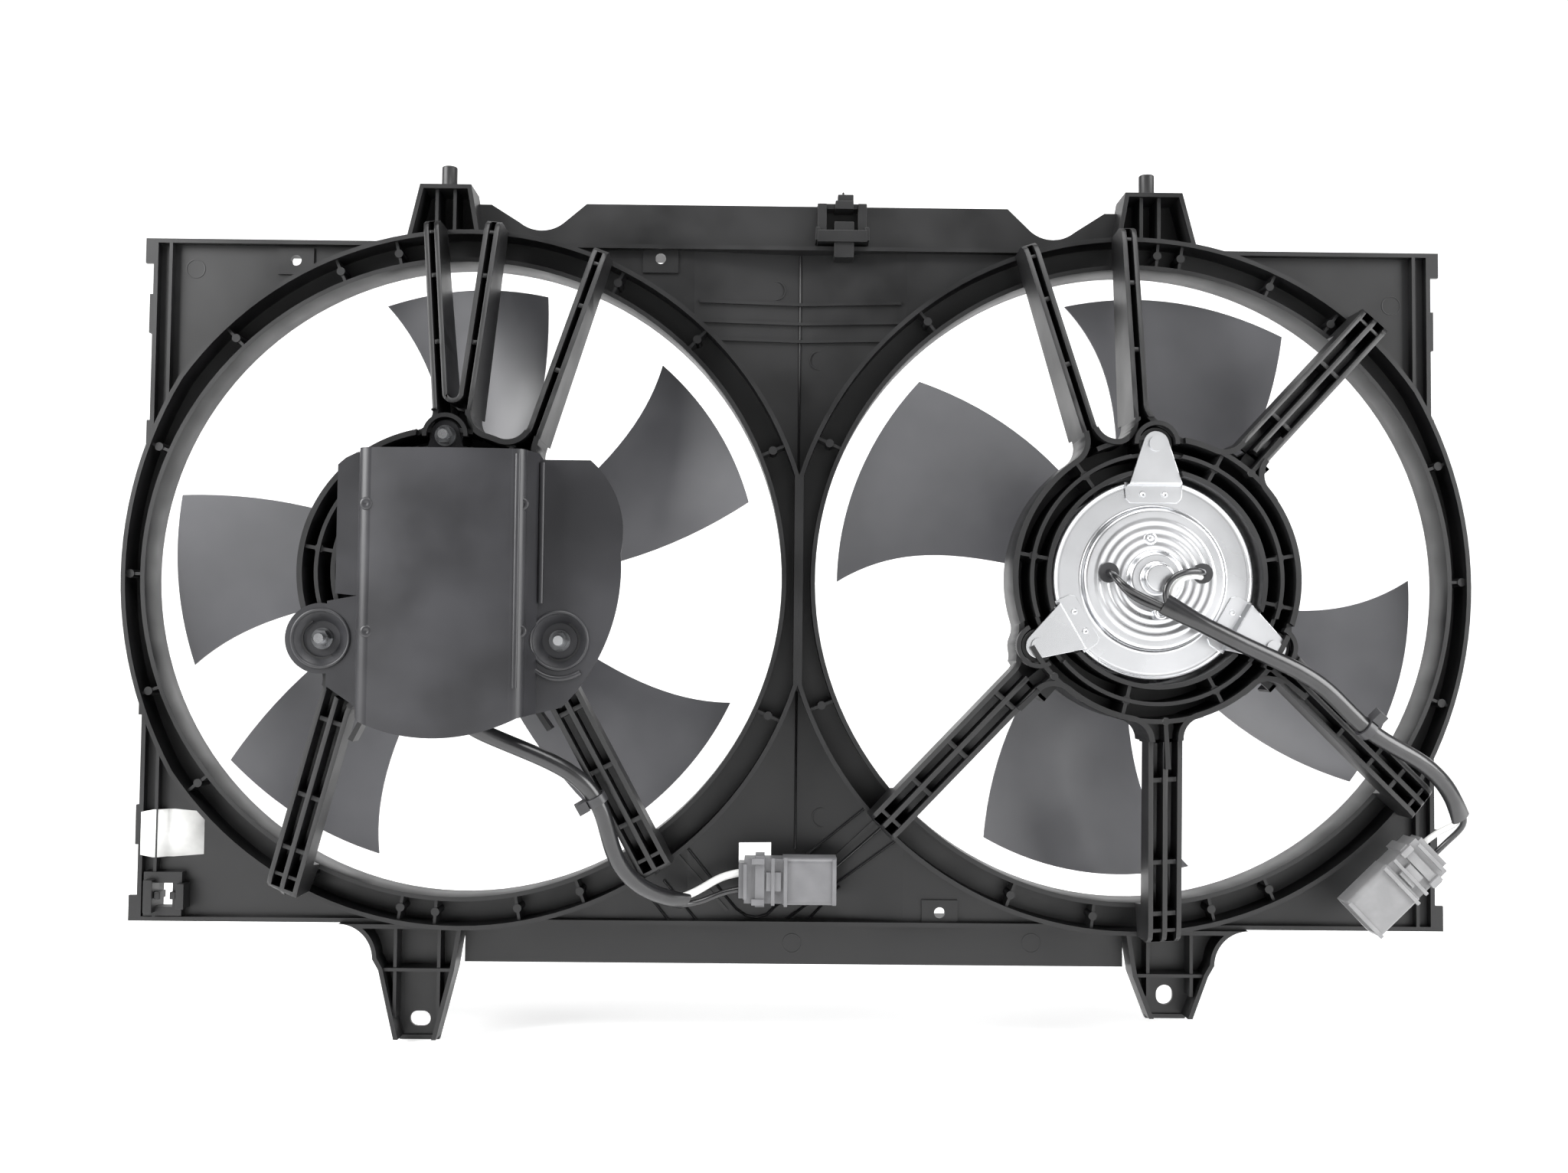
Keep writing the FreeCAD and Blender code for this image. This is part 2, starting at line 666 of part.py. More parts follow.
    # the rotor: shaft, commutator, slotted core and its windings
    shaft_front = cap_y + steel + 0.4
    shaft_rod = rod(f"{side}_shaft_rod", shaft, shaft_front, size("fanHubBack") + 6.5, x)
    finish(group(f"{side}_shaft_group", [shaft_rod]), f"{side}_shaft")
    on_shaft = shaft + 0.02
    comm = cut(f"{side}_comm", rod(f"{side}_comm_drum", size("commutatorRadius"), card_y - 2,
                                   card_y - 2 + size("commutatorLength"), x),
               rod(f"{side}_comm_bore", on_shaft, card_y - 4, card_y + 20, x))
    finish(comm, f"{side}_commutator")
    core_y = float(card_y) - 2 + num("commutatorLength") + 4
    core = pipe(num("armatureRadius"), float(on_shaft), core_y, core_y + num("armatureLength"))
    slots = [spun(slab(19, num("armatureRadius") + 1, core_y - 1, core_y + num("armatureLength") + 1, -2, 2),
                  30 * i) for i in range(12)]
    feature(f"{side}_armature_core", at_fan(core.cut(Part.makeCompound(slots)), side))
    winding = []
    for start_y, end_y in ((core_y - 3.5, core_y), (core_y + num("armatureLength"), core_y + num("armatureLength") + 3.5)):
        winding.append(pipe(33, 14, start_y, end_y))
    feature(f"{side}_windings", at_fan(Part.makeCompound(winding), side))
    # three mounting ears on the cover's rim
    plate_y = -num("earSeat")
    front_y, t = float(cover_y), num("earThick")
    step = num("flangeRadius") - 2.4
    ear = joined([
        thick(ear_outline(0), plate_y - t, plate_y),
        slab(-13, 13, plate_y - t, front_y, step, step + t),
        slab(-13, 13, front_y - t, front_y, step - 9, step + t)])
    hole_tool = drum(num("studRadius") + 0.1, plate_y - 3, plate_y + 3, 0, num("boltCircle"))
    ears = [spun(ear.cut(hole_tool), angle - 90) for angle in EAR_ANGLES]
    feature(f"{side}_motor_ears", at_fan(Part.makeCompound(ears), side))


for side in SIDES:
    build_motor(side)

# fan nuts on the shaft ends
for side in SIDES:
    x = SIDES[side] * size("fanSpacing") / 2
    nut = cut(f"{side}_nut", hexagon(f"{side}_nut_hex", size("nutFlats") * 1.5, size("fanHubBack"),
                                     size("fanHubBack") + 4.5, x, 0),
              rod(f"{side}_nut_bore", size("shaftRadius") + 0.02, size("fanHubBack") - 1,
                  size("fanHubBack") + 6, x))
    finish(nut, f"{side}_fan_nut")

# the fasteners at the ears: studs with washers and nuts on the left, headed screws on the right
left_x, right_x = (SIDES[side] * num("fanSpacing") / 2 for side in SIDES)
ear_front = -num("earSeat") - num("earThick")
studs, washers, nuts = [], [], []
for i, angle in enumerate(EAR_ANGLES):
    across, up = polar(num("boltCircle"), angle)
    face = ear_front - (0 if angle == 90 else num("shieldSheet"))
    x = left_x + across
    studs.append(rod(f"stud_{i}", size("studRadius"), face - 8, -num("hubBack") - 3, x, up))
    washers.append(cut(f"washer_{i}", rod(f"washer_disc_{i}", size("washerRadius"), face - num("washerThick"), face, x, up),
                       rod(f"washer_bore_{i}", size("studRadius") + 0.1, face - 3, face + 1, x, up)))
    under = face - num("washerThick")
    nuts.append(cut(f"ear_nut_{i}", hexagon(f"ear_nut_hex_{i}", size("nutFlats"), under - num("nutThick"), under, x, up),
                    rod(f"ear_nut_bore_{i}", size("studRadius") + 0.02, under - 6, under + 1, x, up)))
finish(group("stud_set", studs), "left_motor_studs")
finish(group("washer_set", washers), "left_motor_washers")
finish(group("ear_nut_set", nuts), "left_motor_nuts")
screws = []
for i, angle in enumerate(EAR_ANGLES):
    across, up = polar(num("boltCircle"), angle)
    x = right_x + across
    screws.append(fuse(f"screw_{i}", [
        rod(f"screw_head_{i}", size("studRadius") + 1.4, ear_front - 1.8, ear_front, x, up),
        rod(f"screw_shank_{i}", size("studRadius"), ear_front - 1.8, -num("hubBack") - 3, x, up)]))
finish(group("screw_set", screws), "right_motor_screws")


# ---------------------------------------------------------------- the shroud's panels
SNAP_TABS = {"left": (148, 76.5, -67, -139), "right": (146, 84.5, -146.5)}
PAD_HOLES = ((-284.6, 178.4), (-79.2, 181.8), (80.5, -183.6))
WEB_RIBS = (158.1, 147.0, 137.0)
SLANTING_RIBS = (((53.8, -124.0), (9.3, -166.7)), ((-67.7, -150.4), (-37.5, -184.0)))
WEB_WINDOW = ((-31.5, -13.5), (-157.2, -146.3))
CORNER_CLIP = (-349.0, -176.0)
TOP_CLIP = 23.3


def top_band():
    top, low = num("boxTop"), num("bandTop")
    return flat((
        (-half_fans(), top - 1), (-half_fans(), low - 1), (-176, low - 1), (-160, 203),
        (-134.9, 203, -148, 198.5), (-122, low), (117.8, low), (129.6, 202.5),
        (156, 201, 143, 196.5), (173, low - 2), (half_fans(), low - 2), (half_fans(), top - 1)))


def bottom_band():
    low = -num("bandBottom")
    return flat(((-half_fans(), -num("boxBottom") + 1), (half_fans(), -num("boxBottom") + 1),
                 (half_fans(), low), (-half_fans(), low)))


def half_fans():
    return num("fanSpacing") / 2


def edged(face, front, back, skin):
    """A plate with a turned-back edge all round it."""
    wall = num("wall")
    inner = face.makeOffset2D(-wall, 0, False, False, False)
    rim = thick(face, front, back).cut(thick(inner, front - 1, back + 1))
    return joined([rim, thick(face, front, front + skin)])


def valley(rise, low, high):
    """The middle web's shallow V, its ridge away from the engine, between two heights."""
    front, wall, half = num("plateFront"), num("wall"), 60.0
    deep = front + 7.5
    corners = [(-half_fans(), front - rise), (-half, front - rise), (0, deep - rise),
               (half, front - rise), (half_fans(), front - rise), (half_fans(), front + wall),
               (half, front + wall), (0, deep + wall), (-half, front + wall), (-half_fans(), front + wall)]
    points = [Vector(x, y, low) for x, y in corners]
    return Part.Face(Part.makePolygon(points + points[:1])).extrude(Vector(0, 0, high - low))


def stripe(start, end, width):
    """A straight strip of the XZ plane from one point to another."""
    a, b = Vector(start[0], 0, start[1]), Vector(end[0], 0, end[1])
    along = (b - a).normalize() * (width / 2)
    across = Vector(-along.z, 0, along.x)
    corners = [a - across, b - across, b + across, a + across]
    return Part.Face(Part.makePolygon(corners + corners[:1]))


def panel():
    """The whole panel before it is parted at the fan axes."""
    wall, front, back = num("wall"), num("plateFront"), num("radiatorFace")
    left, right, top, low = -num("boxLeft"), num("boxRight"), num("boxTop"), -num("boxBottom")
    rings = [at_fan(ring_outline(side), side) for side in SIDES]
    area = united([flat(((left, low), (right, low), (right, top), (left, top))), *rings])
    rim, hole = num("ringRim"), num("ringBore") + wall + num("mouldGap")
    discs = [drum(rim, 0, 60, sign * half_fans()) for sign in (-1, 1)]
    holes = [drum(hole, 0, 60, sign * half_fans()) for sign in (-1, 1)]
    plate = thick(area, front, front + wall)
    middle = slab(-half_fans(), half_fans(), 0, 60, low, top)
    outer_web = plate.cut(middle)
    ledge = plate.common(discs[0].fuse(discs[1]))
    web = valley(0, low, top).cut(discs[0]).cut(discs[1])
    skirt = [pipe(rim, rim - wall, front, front + 11).translated(Vector(sign * half_fans(), 0, 0))
             for sign in (-1, 1)]
    skirts = skirt[0].cut(discs[1]).fuse(skirt[1].cut(discs[0])).common(middle)
    # a solid corner where the two skirts meet, above and below the rings' shared wall
    meet = math.sqrt(rim ** 2 - half_fans() ** 2)
    corners = [slab(-wall, wall, front, front + 11, z - 3, z + 3) for z in (-meet, meet)]
    inner = area.makeOffset2D(-wall, 0, False, False, False)
    box_wall = thick(area, front - 5, back).cut(thick(inner, front - 6, back + 1))
    pieces = [outer_web, ledge, web, skirts, *corners, box_wall]
    # the lip round the box, and the second wall of the narrow channel down each side
    lip = num("lip")
    outer = flat(((left - lip, low), (right + lip, low), (right + lip, top), (left - lip, top)))
    lips = thick(outer, front - 5, front - 5 + wall).cut(thick(inner, 0, 60))
    keep = slab(left - 20, right + 20, 0, 60, top - 14, top).fuse(
        slab(left - 20, right + 20, 0, 60, low, low + 14))
    pieces.append(lips.common(keep))
    for sign, edge in ((-1, -left), (1, right)):
        x = sorted((sign * (edge - 8.6), sign * (edge - 8.6 - 1.8)))
        pieces.append(slab(x[0], x[1], front - 5, front + 1, low + 1, top - 1))
    for side, heights in SNAP_TABS.items():
        sign, edge = (-1, -left) if side == "left" else (1, right)
        x = sorted((sign * (edge - 0.5), sign * (edge + 4.5)))
        pieces += [slab(x[0], x[1], front + 2, front + 16, z - 11, z + 11) for z in heights]
    for z in WEB_RIBS:
        pieces.append(valley(1.6, z - 0.9, z + 0.9).common(slab(-57, 57, 0, 60, 100, 200)).cut(
            discs[0]).cut(discs[1]))
    for start, end in SLANTING_RIBS:
        rib = thick(stripe(start, end, 1.8), 0, 60).common(valley(1.6, low, top))
        pieces.append(rib.cut(discs[0]).cut(discs[1]))
    band_y = front + 4
    for band in (top_band(), bottom_band()):
        pieces.append(edged(band, band_y, band_y + num("bandDepth"), wall))
    for x, z in PAD_HOLES:
        pieces.append(slab(x - 10, x + 10, front - 1.2, front + 0.5, z - 8, z + 7))
    x, z = CORNER_CLIP
    pieces.append(slab(x - 10, x + 11, front - 6, front + 0.5, z - 12, z + 12))
    whole = joined(pieces)
    for pad_x, pad_z in PAD_HOLES:
        whole = whole.cut(drum(3.0, 0, 60, pad_x, pad_z))
    whole = whole.cut(slab(x - 5.5, x + 6, 0, 40, z - 7, z + 6))
    (window_left, window_right), (window_low, window_top) = WEB_WINDOW
    whole = whole.cut(slab(window_left, window_right, 0, 60, window_low, window_top))
    for side, bore in zip(SIDES, holes):
        whole = whole.cut(bore).cut(ring_space(side, -1, front))
    return whole


whole_panel = panel()
far = num("boxLeft") + 50
feature("left_end_panel", whole_panel.common(slab(-far, -half_fans(), -60, 90, -300, 300)))
feature("centre_panel", whole_panel.common(slab(-half_fans(), half_fans(), -60, 90, -300, 300)))
feature("right_end_panel", whole_panel.common(slab(half_fans(), far, -60, 90, -300, 300)))


# ---------------------------------------------------------------- pin towers, feet and top clip
# how far each tower reaches outwards from its pin: at its base, then at its top
TOWER_REACH = {"left": (21.0, 14.0), "right": (25.5, 17.5)}


def tower(side):
    sign = SIDES[side]
    base_reach, top_reach = TOWER_REACH[side]
    middle = sign * num("pinSpacing") / 2 - num("fanShift")
    top, base = num("pinHeight"), num("boxTop")
    outer, inner = base_reach * sign, -20.0 * sign
    face = flat(((middle + outer, base), (middle + top_reach * sign, top), (middle - 14.5 * sign, top),
                 (middle + inner, base)))
    front, back, wall = 6.0, 30.0, num("wall")
    shell = thick(face, front, back).cut(
        thick(face.makeOffset2D(-wall, 0, False, False, False), front - 1, back - wall))
    ribs = [slab(x - 0.9, x + 0.9, front + 3, back - 1, base, top - 1) for x in (middle - 5, middle + 5)]
    pin = Part.makeCylinder(num("pinRadius"), num("pinLength") + 1, Vector(middle, num("pinDepth"), top - 1))
    pin = pin.makeFillet(0.8, [edge for edge in pin.Edges if edge.BoundBox.ZMin > top + num("pinLength") - 0.5
                               and edge.BoundBox.XLength > 1])
    return joined([shell, *ribs, pin]).cut(ring_space(side, -1, 60)).cut(band_space())


def band_space():
    """What the panel's bands already fill at the foot of a tower."""
    front = num("plateFront") + 4
    return thick(top_band(), front, front + num("bandDepth"))


SLOTS = {
    # centre across from the middle, size across, size down, foot's lowest edge below the slot
    "left": (-207.7, 11.4, 8.4, num("leftSlotDrop"), 11.0),
    "right": (207.2, 9.4, 10.9, num("rightSlotDrop"), 12.7),
}


def slot_hole(side, front, back):
    x, across, down, drop, _ = SLOTS[side]
    radius = min(across, down) / 2
    shift = abs(across - down) / 2
    dx, dz = (shift, 0) if across > down else (0, shift)
    ends = [drum(radius, front, back, x + s * dx, -drop + s * dz) for s in (-1, 1)]
    bridge = slab(x - max(dx, radius if dz else 0), x + max(dx, radius if dz else 0), front, back,
                  -drop - max(dz, radius if dx else 0), -drop + max(dz, radius if dx else 0))
    return ends[0].fuse([ends[1], bridge])


def foot(side):
    sign = SIDES[side]
    x, _, _, drop, below = SLOTS[side]
    top, low = -num("boxBottom"), -drop - below
    shelf = top - 25
    face = flat(((x + 43 * sign, top), (x + 24 * sign, top - 19, x + 29.6 * sign, top - 5.6),
                 (x + 20.5 * sign, shelf), (x + 11 * sign, low),
                 (x - 11 * sign, low), (x - 21 * sign, shelf), (x - 25 * sign, top)))
    front, back, wall = 9.0, 26.0, num("wall")
    rim = thick(face, front, back).cut(
        thick(face.makeOffset2D(-wall, 0, False, False, False), front - 1, back + 1))
    rim = rim.cut(slab(x - 12, x + 12, front - 1, back - 4, low - 1, low + wall + 0.1))
    ribs = [slab(x + s * 12 - 0.9, x + s * 12 + 0.9, front + 3, back - 1, low + 14, top) for s in (-1, 1)]
    ledge = slab(x - 19.5, x + 19.5, front + 2, back - 1, shelf - 0.9, shelf + 0.9)
    whole = joined([rim, thick(face, back - wall, back), ledge, *ribs])
    whole = whole.cut(slot_hole(side, -20, 60))
    whole = whole.cut(ring_space(side, -1, 60))
    bottom = num("plateFront") + 4
    return whole.cut(thick(bottom_band(), bottom, bottom + num("bandDepth")))


for side in SIDES:
    feature(f"{side}_pin_tower", tower(side))
for side in SIDES:
    feature(f"{side}_foot", foot(side))

clip_y, clip_z = (10.0, num("plateFront") + 4), num("boxTop")
clip_frame = block("clip_block", (TOP_CLIP - 12.5, TOP_CLIP + 12.5), clip_y, (clip_z, clip_z + 24))
clip_nub = block("clip_nub", (TOP_CLIP - 4, TOP_CLIP + 4), (12, clip_y[1]), (clip_z + 23, clip_z + 30))
clip_window = block("clip_window", (TOP_CLIP - 7, TOP_CLIP + 7), (0, 40), (clip_z + 6, clip_z + 20))
clip_gate = block("clip_gate", (TOP_CLIP - 3, TOP_CLIP + 3), (0, clip_y[1] - 5), (clip_z + 10, clip_z + 40))
finish(cut("top_hose_clip_cut", fuse("clip_body", [clip_frame, clip_nub]),
           fuse("clip_space", [clip_window, clip_gate])), "top_hose_clip")


# ---------------------------------------------------------------- the heat shield
def heat_shield():
    """A pressed sheet: a bowed front panel, two side flanges and two dished fixing ears."""
    t, front, flange = num("shieldSheet"), -num("shieldFront"), -num("shieldFlange")
    centre = left_x + 3.5
    half = num("shieldWidth") / 2
    rows = [
        # a section across the sheet: (x, y), with the middle point of an arc where it has one
        ((centre - half - 18, flange), (centre - half - 3, flange), None),
        ((centre - half - 3, flange), (centre - half + 1, front + 8), None),
        ((centre - half + 1, front + 8), (centre - half + 8, front + 2), (centre - half + 3, front + 3.6)),
        ((centre - half + 8, front + 2), (centre + half - 8, front + 2), (centre, front)),
        ((centre + half - 8, front + 2), (centre + half - 1, front + 8), (centre + half - 3, front + 3.6)),
        ((centre + half - 1, front + 8), (centre + half + 3, flange), None),
        ((centre + half + 3, flange), (centre + half + 46, flange), None)]
    edges = []
    for start, end, via in rows:
        start, end = Vector(*start, -100), Vector(*end, -100)
        edges.append(Part.Arc(start, Vector(*via, -100), end).toShape() if via
                     else Part.LineSegment(start, end).toShape())
    section = Part.Wire(edges).makeOffset2D(-t, 0, True, True, False)
    sheet_solid = section.extrude(Vector(0, 0, 200))
    left_ear = (left_x + polar(num("boltCircle"), 210)[0], polar(num("boltCircle"), 210)[1])
    right_ear = (left_x + polar(num("boltCircle"), 330)[0], polar(num("boltCircle"), 330)[1])
    outline = flat((
        (centre - half - 4, 60.5), (centre + half + 3, 60.5), (centre + half + 5, 57.5),
        (centre + half + 29, 57.5), (centre + half + 45, 10, centre + half + 42, 40),
        (centre + half + 16, -69, centre + half + 37, -38), (centre + half - 4, -74),
        (centre - half + 3, -76, centre, -84), (centre - half - 5, -68),
        (left_ear[0] - 8, left_ear[1] - 16.5), (left_ear[0] - 3, left_ear[1] + 18, left_ear[0] - 18.3, left_ear[1] - 1),
        (centre - half - 3, -13), (centre - half - 14, -12), (centre - half - 14, 54),
        (centre - half - 10, 57.5)))
    body = sheet_solid.common(thick(outline, -120, 0))
    seat = ear_front
    for i, (x, z) in enumerate((left_ear, right_ear)):
        if i == 0:
            pad = drum(18.0, flange, flange + t, x, z).cut(slab(centre - half - 4, 400, -100, 0, -200, 200))
            body = body.fuse(pad)
        body = body.cut(drum(14.0, -120, 0, x, z))
        dish = revolved(((14.6, flange), (14.6, flange + t), (9.4, seat), (2.9, seat), (2.9, seat - t),
                         (9.0, seat - t), (13.4, flange)))
        dish.translate(Vector(x, 0, z))
        body = body.fuse(dish)
    return body.removeSplitter()


feature("heat_shield", heat_shield())


# ---------------------------------------------------------------- cables, clips and connectors
def tube(points, radius, name):
    """Straight runs joined by tangent arcs, each as large as its two runs allow."""
    points = [Vector(*point) for point in points]
    edges = []
    last = points[0]
    radii = []
    for before, here, after in zip(points, points[1:], points[2:]):
        u = (here - before).normalize()
        w = (after - here).normalize()
        turn = u.getAngle(w)
        reach = 0.45 * min((here - before).Length, (after - here).Length)
        bend = reach / math.tan(turn / 2)
        radii.append(bend)
        start, end = here - u * reach, here + w * reach
        inward = (w - u).normalize()
        middle = here + inward * (bend / math.cos(turn / 2) - bend)
        edges.append(Part.LineSegment(last, start).toShape())
        edges.append(Part.Arc(start, middle, end).toShape())
        last = end
    edges.append(Part.LineSegment(last, points[-1]).toShape())
    path = Part.Wire(edges)
    circle = Part.Wire(Part.Circle(points[0], points[1] - points[0], radius).toShape())
    solid = path.makePipeShell([circle], True, True)
    share = solid.Volume / (math.pi * radius ** 2 * path.Length)
    print(f"{name}: length {path.Length:.1f} mm, volume {share:.4f} of section times length, "
          f"smallest bend {min(radii):.1f} mm = {min(radii) / (2 * radius):.1f} diameters")
    return solid


SLEEVES = {
    "left": ((-186, -68, -50), (-180, -67, -66), (-170, -60, -78), (-157, -54, -84.5), (-141, -52, -91),
             (-122, -51, -99), (-108, -49, -109), (-100, -45, -124), (-97, -42, -141), (-90, -34, -158),
             (-76, -19, -170), (-60, -4, -175)),
    "right": ((186, -67, -14), (200, -68.5, -22), (218, -67, -30.5), (236, -64.5, -38.5), (255, -62, -46.5),
              (271, -59, -56.5), (284, -56, -70), (300, -52, -82), (318, -47, -90), (333, -41, -99),
              (345, -34, -111), (352, -27, -124)),
}


def connector(base, turn):
    """A rear body with latch, a front shroud and a rear seal, pointing along +X, then turned."""
    rear = joined([slab(0, 21, -8, 8, -12, 12), slab(6, 11, -9.6, 9.6, -13.6, 13.6),
                   slab(12, 20, -10.2, -8, -5, 5), slab(-3, 1, -6.5, 6.5, -9.5, 9.5)])
    front = slab(21, 50, -9.5, 9.5, -12.8, 12.8)
    front = front.makeFillet(3.0, [edge for edge in front.Edges if abs(edge.BoundBox.XLength - 29) < 0.01])
    mouth = slab(27, 60, -7.6, 7.6, -10.8, 10.8)
    mouth = mouth.makeFillet(2.0, [edge for edge in mouth.Edges if abs(edge.BoundBox.XLength - 33) < 0.01])
    front = front.cut(mouth)
    leads = [Part.makeCylinder(num("leadRadius") + 0.1, 12, Vector(-4, 0, z), Vector(1, 0, 0)) for z in (-4.5, 4.5)]
    for lead in leads:
        rear = rear.cut(lead)
    pins = [slab(27, 38, -0.4, 0.4, z - 1.5, z + 1.5) for z in (-4.5, 4.5)]
    put = Placement(base, Rotation(Vector(0, -1, 0), turn))
    done = []
    for shape in (rear, front, Part.makeCompound(pins)):
        shape = shape.copy()
        shape.Placement = put
        done.append(shape)
    return done


CONNECTORS = {"left": (Vector(-28, 2, -163.6), 0.0), "right": (Vector(338, -15, -144), -136.0)}
# the two leads of each motor, from inside its cover to its sleeve
MOTOR_LEADS = {
    "left": (
        ((-159.2, -50, 3), (-159.2, -67, 3), (-162, -71, -15), (-175, -70, -29), (-188.3, -68.7, -37.5),
         (-184, -68, -48.9)),
        ((-207.8, -50, 3), (-207.8, -67, 3), (-205, -71, -15), (-198, -70, -29), (-191.2, -68.5, -42.4),
         (-188.2, -68, -50.5))),
    "right": (
        ((159.2, -50, 3), (159.2, -66, 3), (163, -70, -8), (177.8, -66.2, -11.8), (184.7, -66.9, -15.8)),
        ((207.8, -50, 3), (207.8, -67, 3), (192, -74, 6), (177, -73, 3), (170.5, -70, -5), (179.7, -66.2, -7.9),
         (186.6, -66.9, -11.9))),
}
# the two leads of each connector, from its sleeve's end
TAIL_LEADS = {
    "left": (((-59.1, -3.9, -173), (-54.8, 0.1, -174.3), (-45, 2, -168), (-37, 2, -159.1), (-22, 2, -159.1)),
             ((-60.4, -3.9, -177.2), (-56.1, 0.1, -178.5), (-47, 2, -177), (-37, 2, -168.1), (-22, 2, -168.1))),
    "right": (((353.7, -28.4, -124.2), (356.3, -25.8, -129), (349.8, -15, -138.9), (336.8, -15, -151.4)),
              ((350.6, -25.3, -124.2), (353.2, -22.7, -129), (343.5, -15, -132.4), (330.6, -15, -144.9))),
}


def cable_tie(before, after, outward):
    """A strap round a sleeve, midway between two of its points, with its head."""
    sleeve = num("sleeveRadius")
    strap = Part.makeCylinder(sleeve + 1.3, 4.6, Vector(0, 0, -2.3))
    strap = strap.cut(Part.makeCylinder(sleeve + 0.02, 6, Vector(0, 0, -3)))
    head = Part.makeBox(6, 7, 5.4, Vector(sleeve + 0.9, -3.5, -2.7))
    tie = joined([strap, head])
    before, after = Vector(*before), Vector(*after)
    tie.Placement = Placement((before + after) / 2, Rotation(Vector(*outward), Vector(), after - before, "ZXY"))
    return tie


TIES = (("left", 6, (-1, -0.3, 0.4)), ("right", 6, (0.6, -0.3, 0.75)))
ties = [cable_tie(SLEEVES[side][i], SLEEVES[side][i + 1], outward) for side, i, outward in TIES]
feature("cable_ties", Part.makeCompound(ties))

for side in SIDES:
    feature(f"{side}_cable_sleeve", tube(SLEEVES[side], num("sleeveRadius"), f"{side}_cable_sleeve"))
    base, turn = CONNECTORS[side]
    rear, front, pins = connector(base, turn)
    feature(f"{side}_connector_body", rear)
    feature(f"{side}_connector_shroud", front)
    feature(f"{side}_connector_pins", pins)
    runs = MOTOR_LEADS[side] + TAIL_LEADS[side]
    leads = [tube(points, num("leadRadius"), f"{side}_lead_{i}") for i, points in enumerate(runs)]
    feature(f"{side}_leads", Part.makeCompound(leads))


# ---------------------------------------------------------------- check and write the parts
doc.recompute()
os.makedirs("parts", exist_ok=True)
for thing in doc.Objects:
    if "Invalid" in thing.State or "Error" in thing.State:
        raise SystemExit(f"{thing.Label} failed to build: {thing.State}")
for thing in nodes:
    shape = thing.Shape
    if shape.isNull() or not shape.isValid() or not shape.Solids:
        raise SystemExit(f"{thing.Label} is not a valid solid")
    shape.exportStep(f"parts/{thing.Label}.step")
    print(f"{thing.Label:28s} solids {len(shape.Solids):3d} volume {shape.Volume / 1000:9.2f} cm3")
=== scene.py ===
import math

import bmesh
import bpy
from mathutils import Matrix, Vector


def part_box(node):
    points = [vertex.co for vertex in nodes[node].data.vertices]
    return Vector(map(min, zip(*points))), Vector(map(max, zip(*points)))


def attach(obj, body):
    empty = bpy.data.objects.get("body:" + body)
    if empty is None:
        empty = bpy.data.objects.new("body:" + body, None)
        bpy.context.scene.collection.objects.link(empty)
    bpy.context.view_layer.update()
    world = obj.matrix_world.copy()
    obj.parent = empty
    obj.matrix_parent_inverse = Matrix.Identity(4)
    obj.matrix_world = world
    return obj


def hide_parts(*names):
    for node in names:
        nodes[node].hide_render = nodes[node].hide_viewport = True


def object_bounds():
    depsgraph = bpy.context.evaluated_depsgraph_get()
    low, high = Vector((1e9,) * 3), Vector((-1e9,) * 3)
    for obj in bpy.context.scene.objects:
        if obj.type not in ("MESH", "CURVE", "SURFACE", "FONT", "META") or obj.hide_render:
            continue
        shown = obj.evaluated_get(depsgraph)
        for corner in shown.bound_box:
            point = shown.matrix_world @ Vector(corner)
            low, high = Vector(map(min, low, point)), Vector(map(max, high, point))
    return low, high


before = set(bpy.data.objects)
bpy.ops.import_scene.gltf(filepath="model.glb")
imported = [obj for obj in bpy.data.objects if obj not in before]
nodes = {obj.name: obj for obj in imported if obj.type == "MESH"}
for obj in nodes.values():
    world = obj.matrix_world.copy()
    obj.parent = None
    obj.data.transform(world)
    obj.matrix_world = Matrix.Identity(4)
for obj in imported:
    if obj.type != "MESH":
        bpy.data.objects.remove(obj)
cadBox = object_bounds()
print("frame loaded:", len(nodes), "nodes")


def hexToLinear(code):
    channels = [int(code[i:i + 2], 16) / 255 for i in (1, 3, 5)]
    return [c / 12.92 if c <= 0.04045 else ((c + 0.055) / 1.055) ** 2.4 for c in channels] + [1.0]


def addNode(tree, kind, inputs=None, **settings):
    # one shader node; an input is given a value or another node's output
    node = tree.nodes.new("ShaderNode" + kind)
    for name, value in settings.items():
        setattr(node, name, value)
    for name, value in (inputs or {}).items():
        if isinstance(value, bpy.types.NodeSocket):
            tree.links.new(value, node.inputs[name])
        else:
            node.inputs[name].default_value = value
    return node


def newMaterial(name):
    material = bpy.data.materials.new(name)
    material.use_nodes = True
    material.node_tree.nodes.clear()
    return material, material.node_tree


def finishMaterial(tree, inputs):
    shader = addNode(tree, "BsdfPrincipled", inputs)
    addNode(tree, "OutputMaterial", {"Surface": shader.outputs[0]})


def twoTone(tree, factor, dark, light, low=0.35, high=0.65):
    # two colours mixed by a pattern, with the pattern's middle range stretched
    spread = addNode(tree, "MapRange", {"Value": factor, "From Min": low, "From Max": high})
    mix = addNode(tree, "Mix", {"Factor": spread.outputs[0], 6: hexToLinear(dark), 7: hexToLinear(light)},
                  data_type="RGBA")
    return mix.outputs[2]


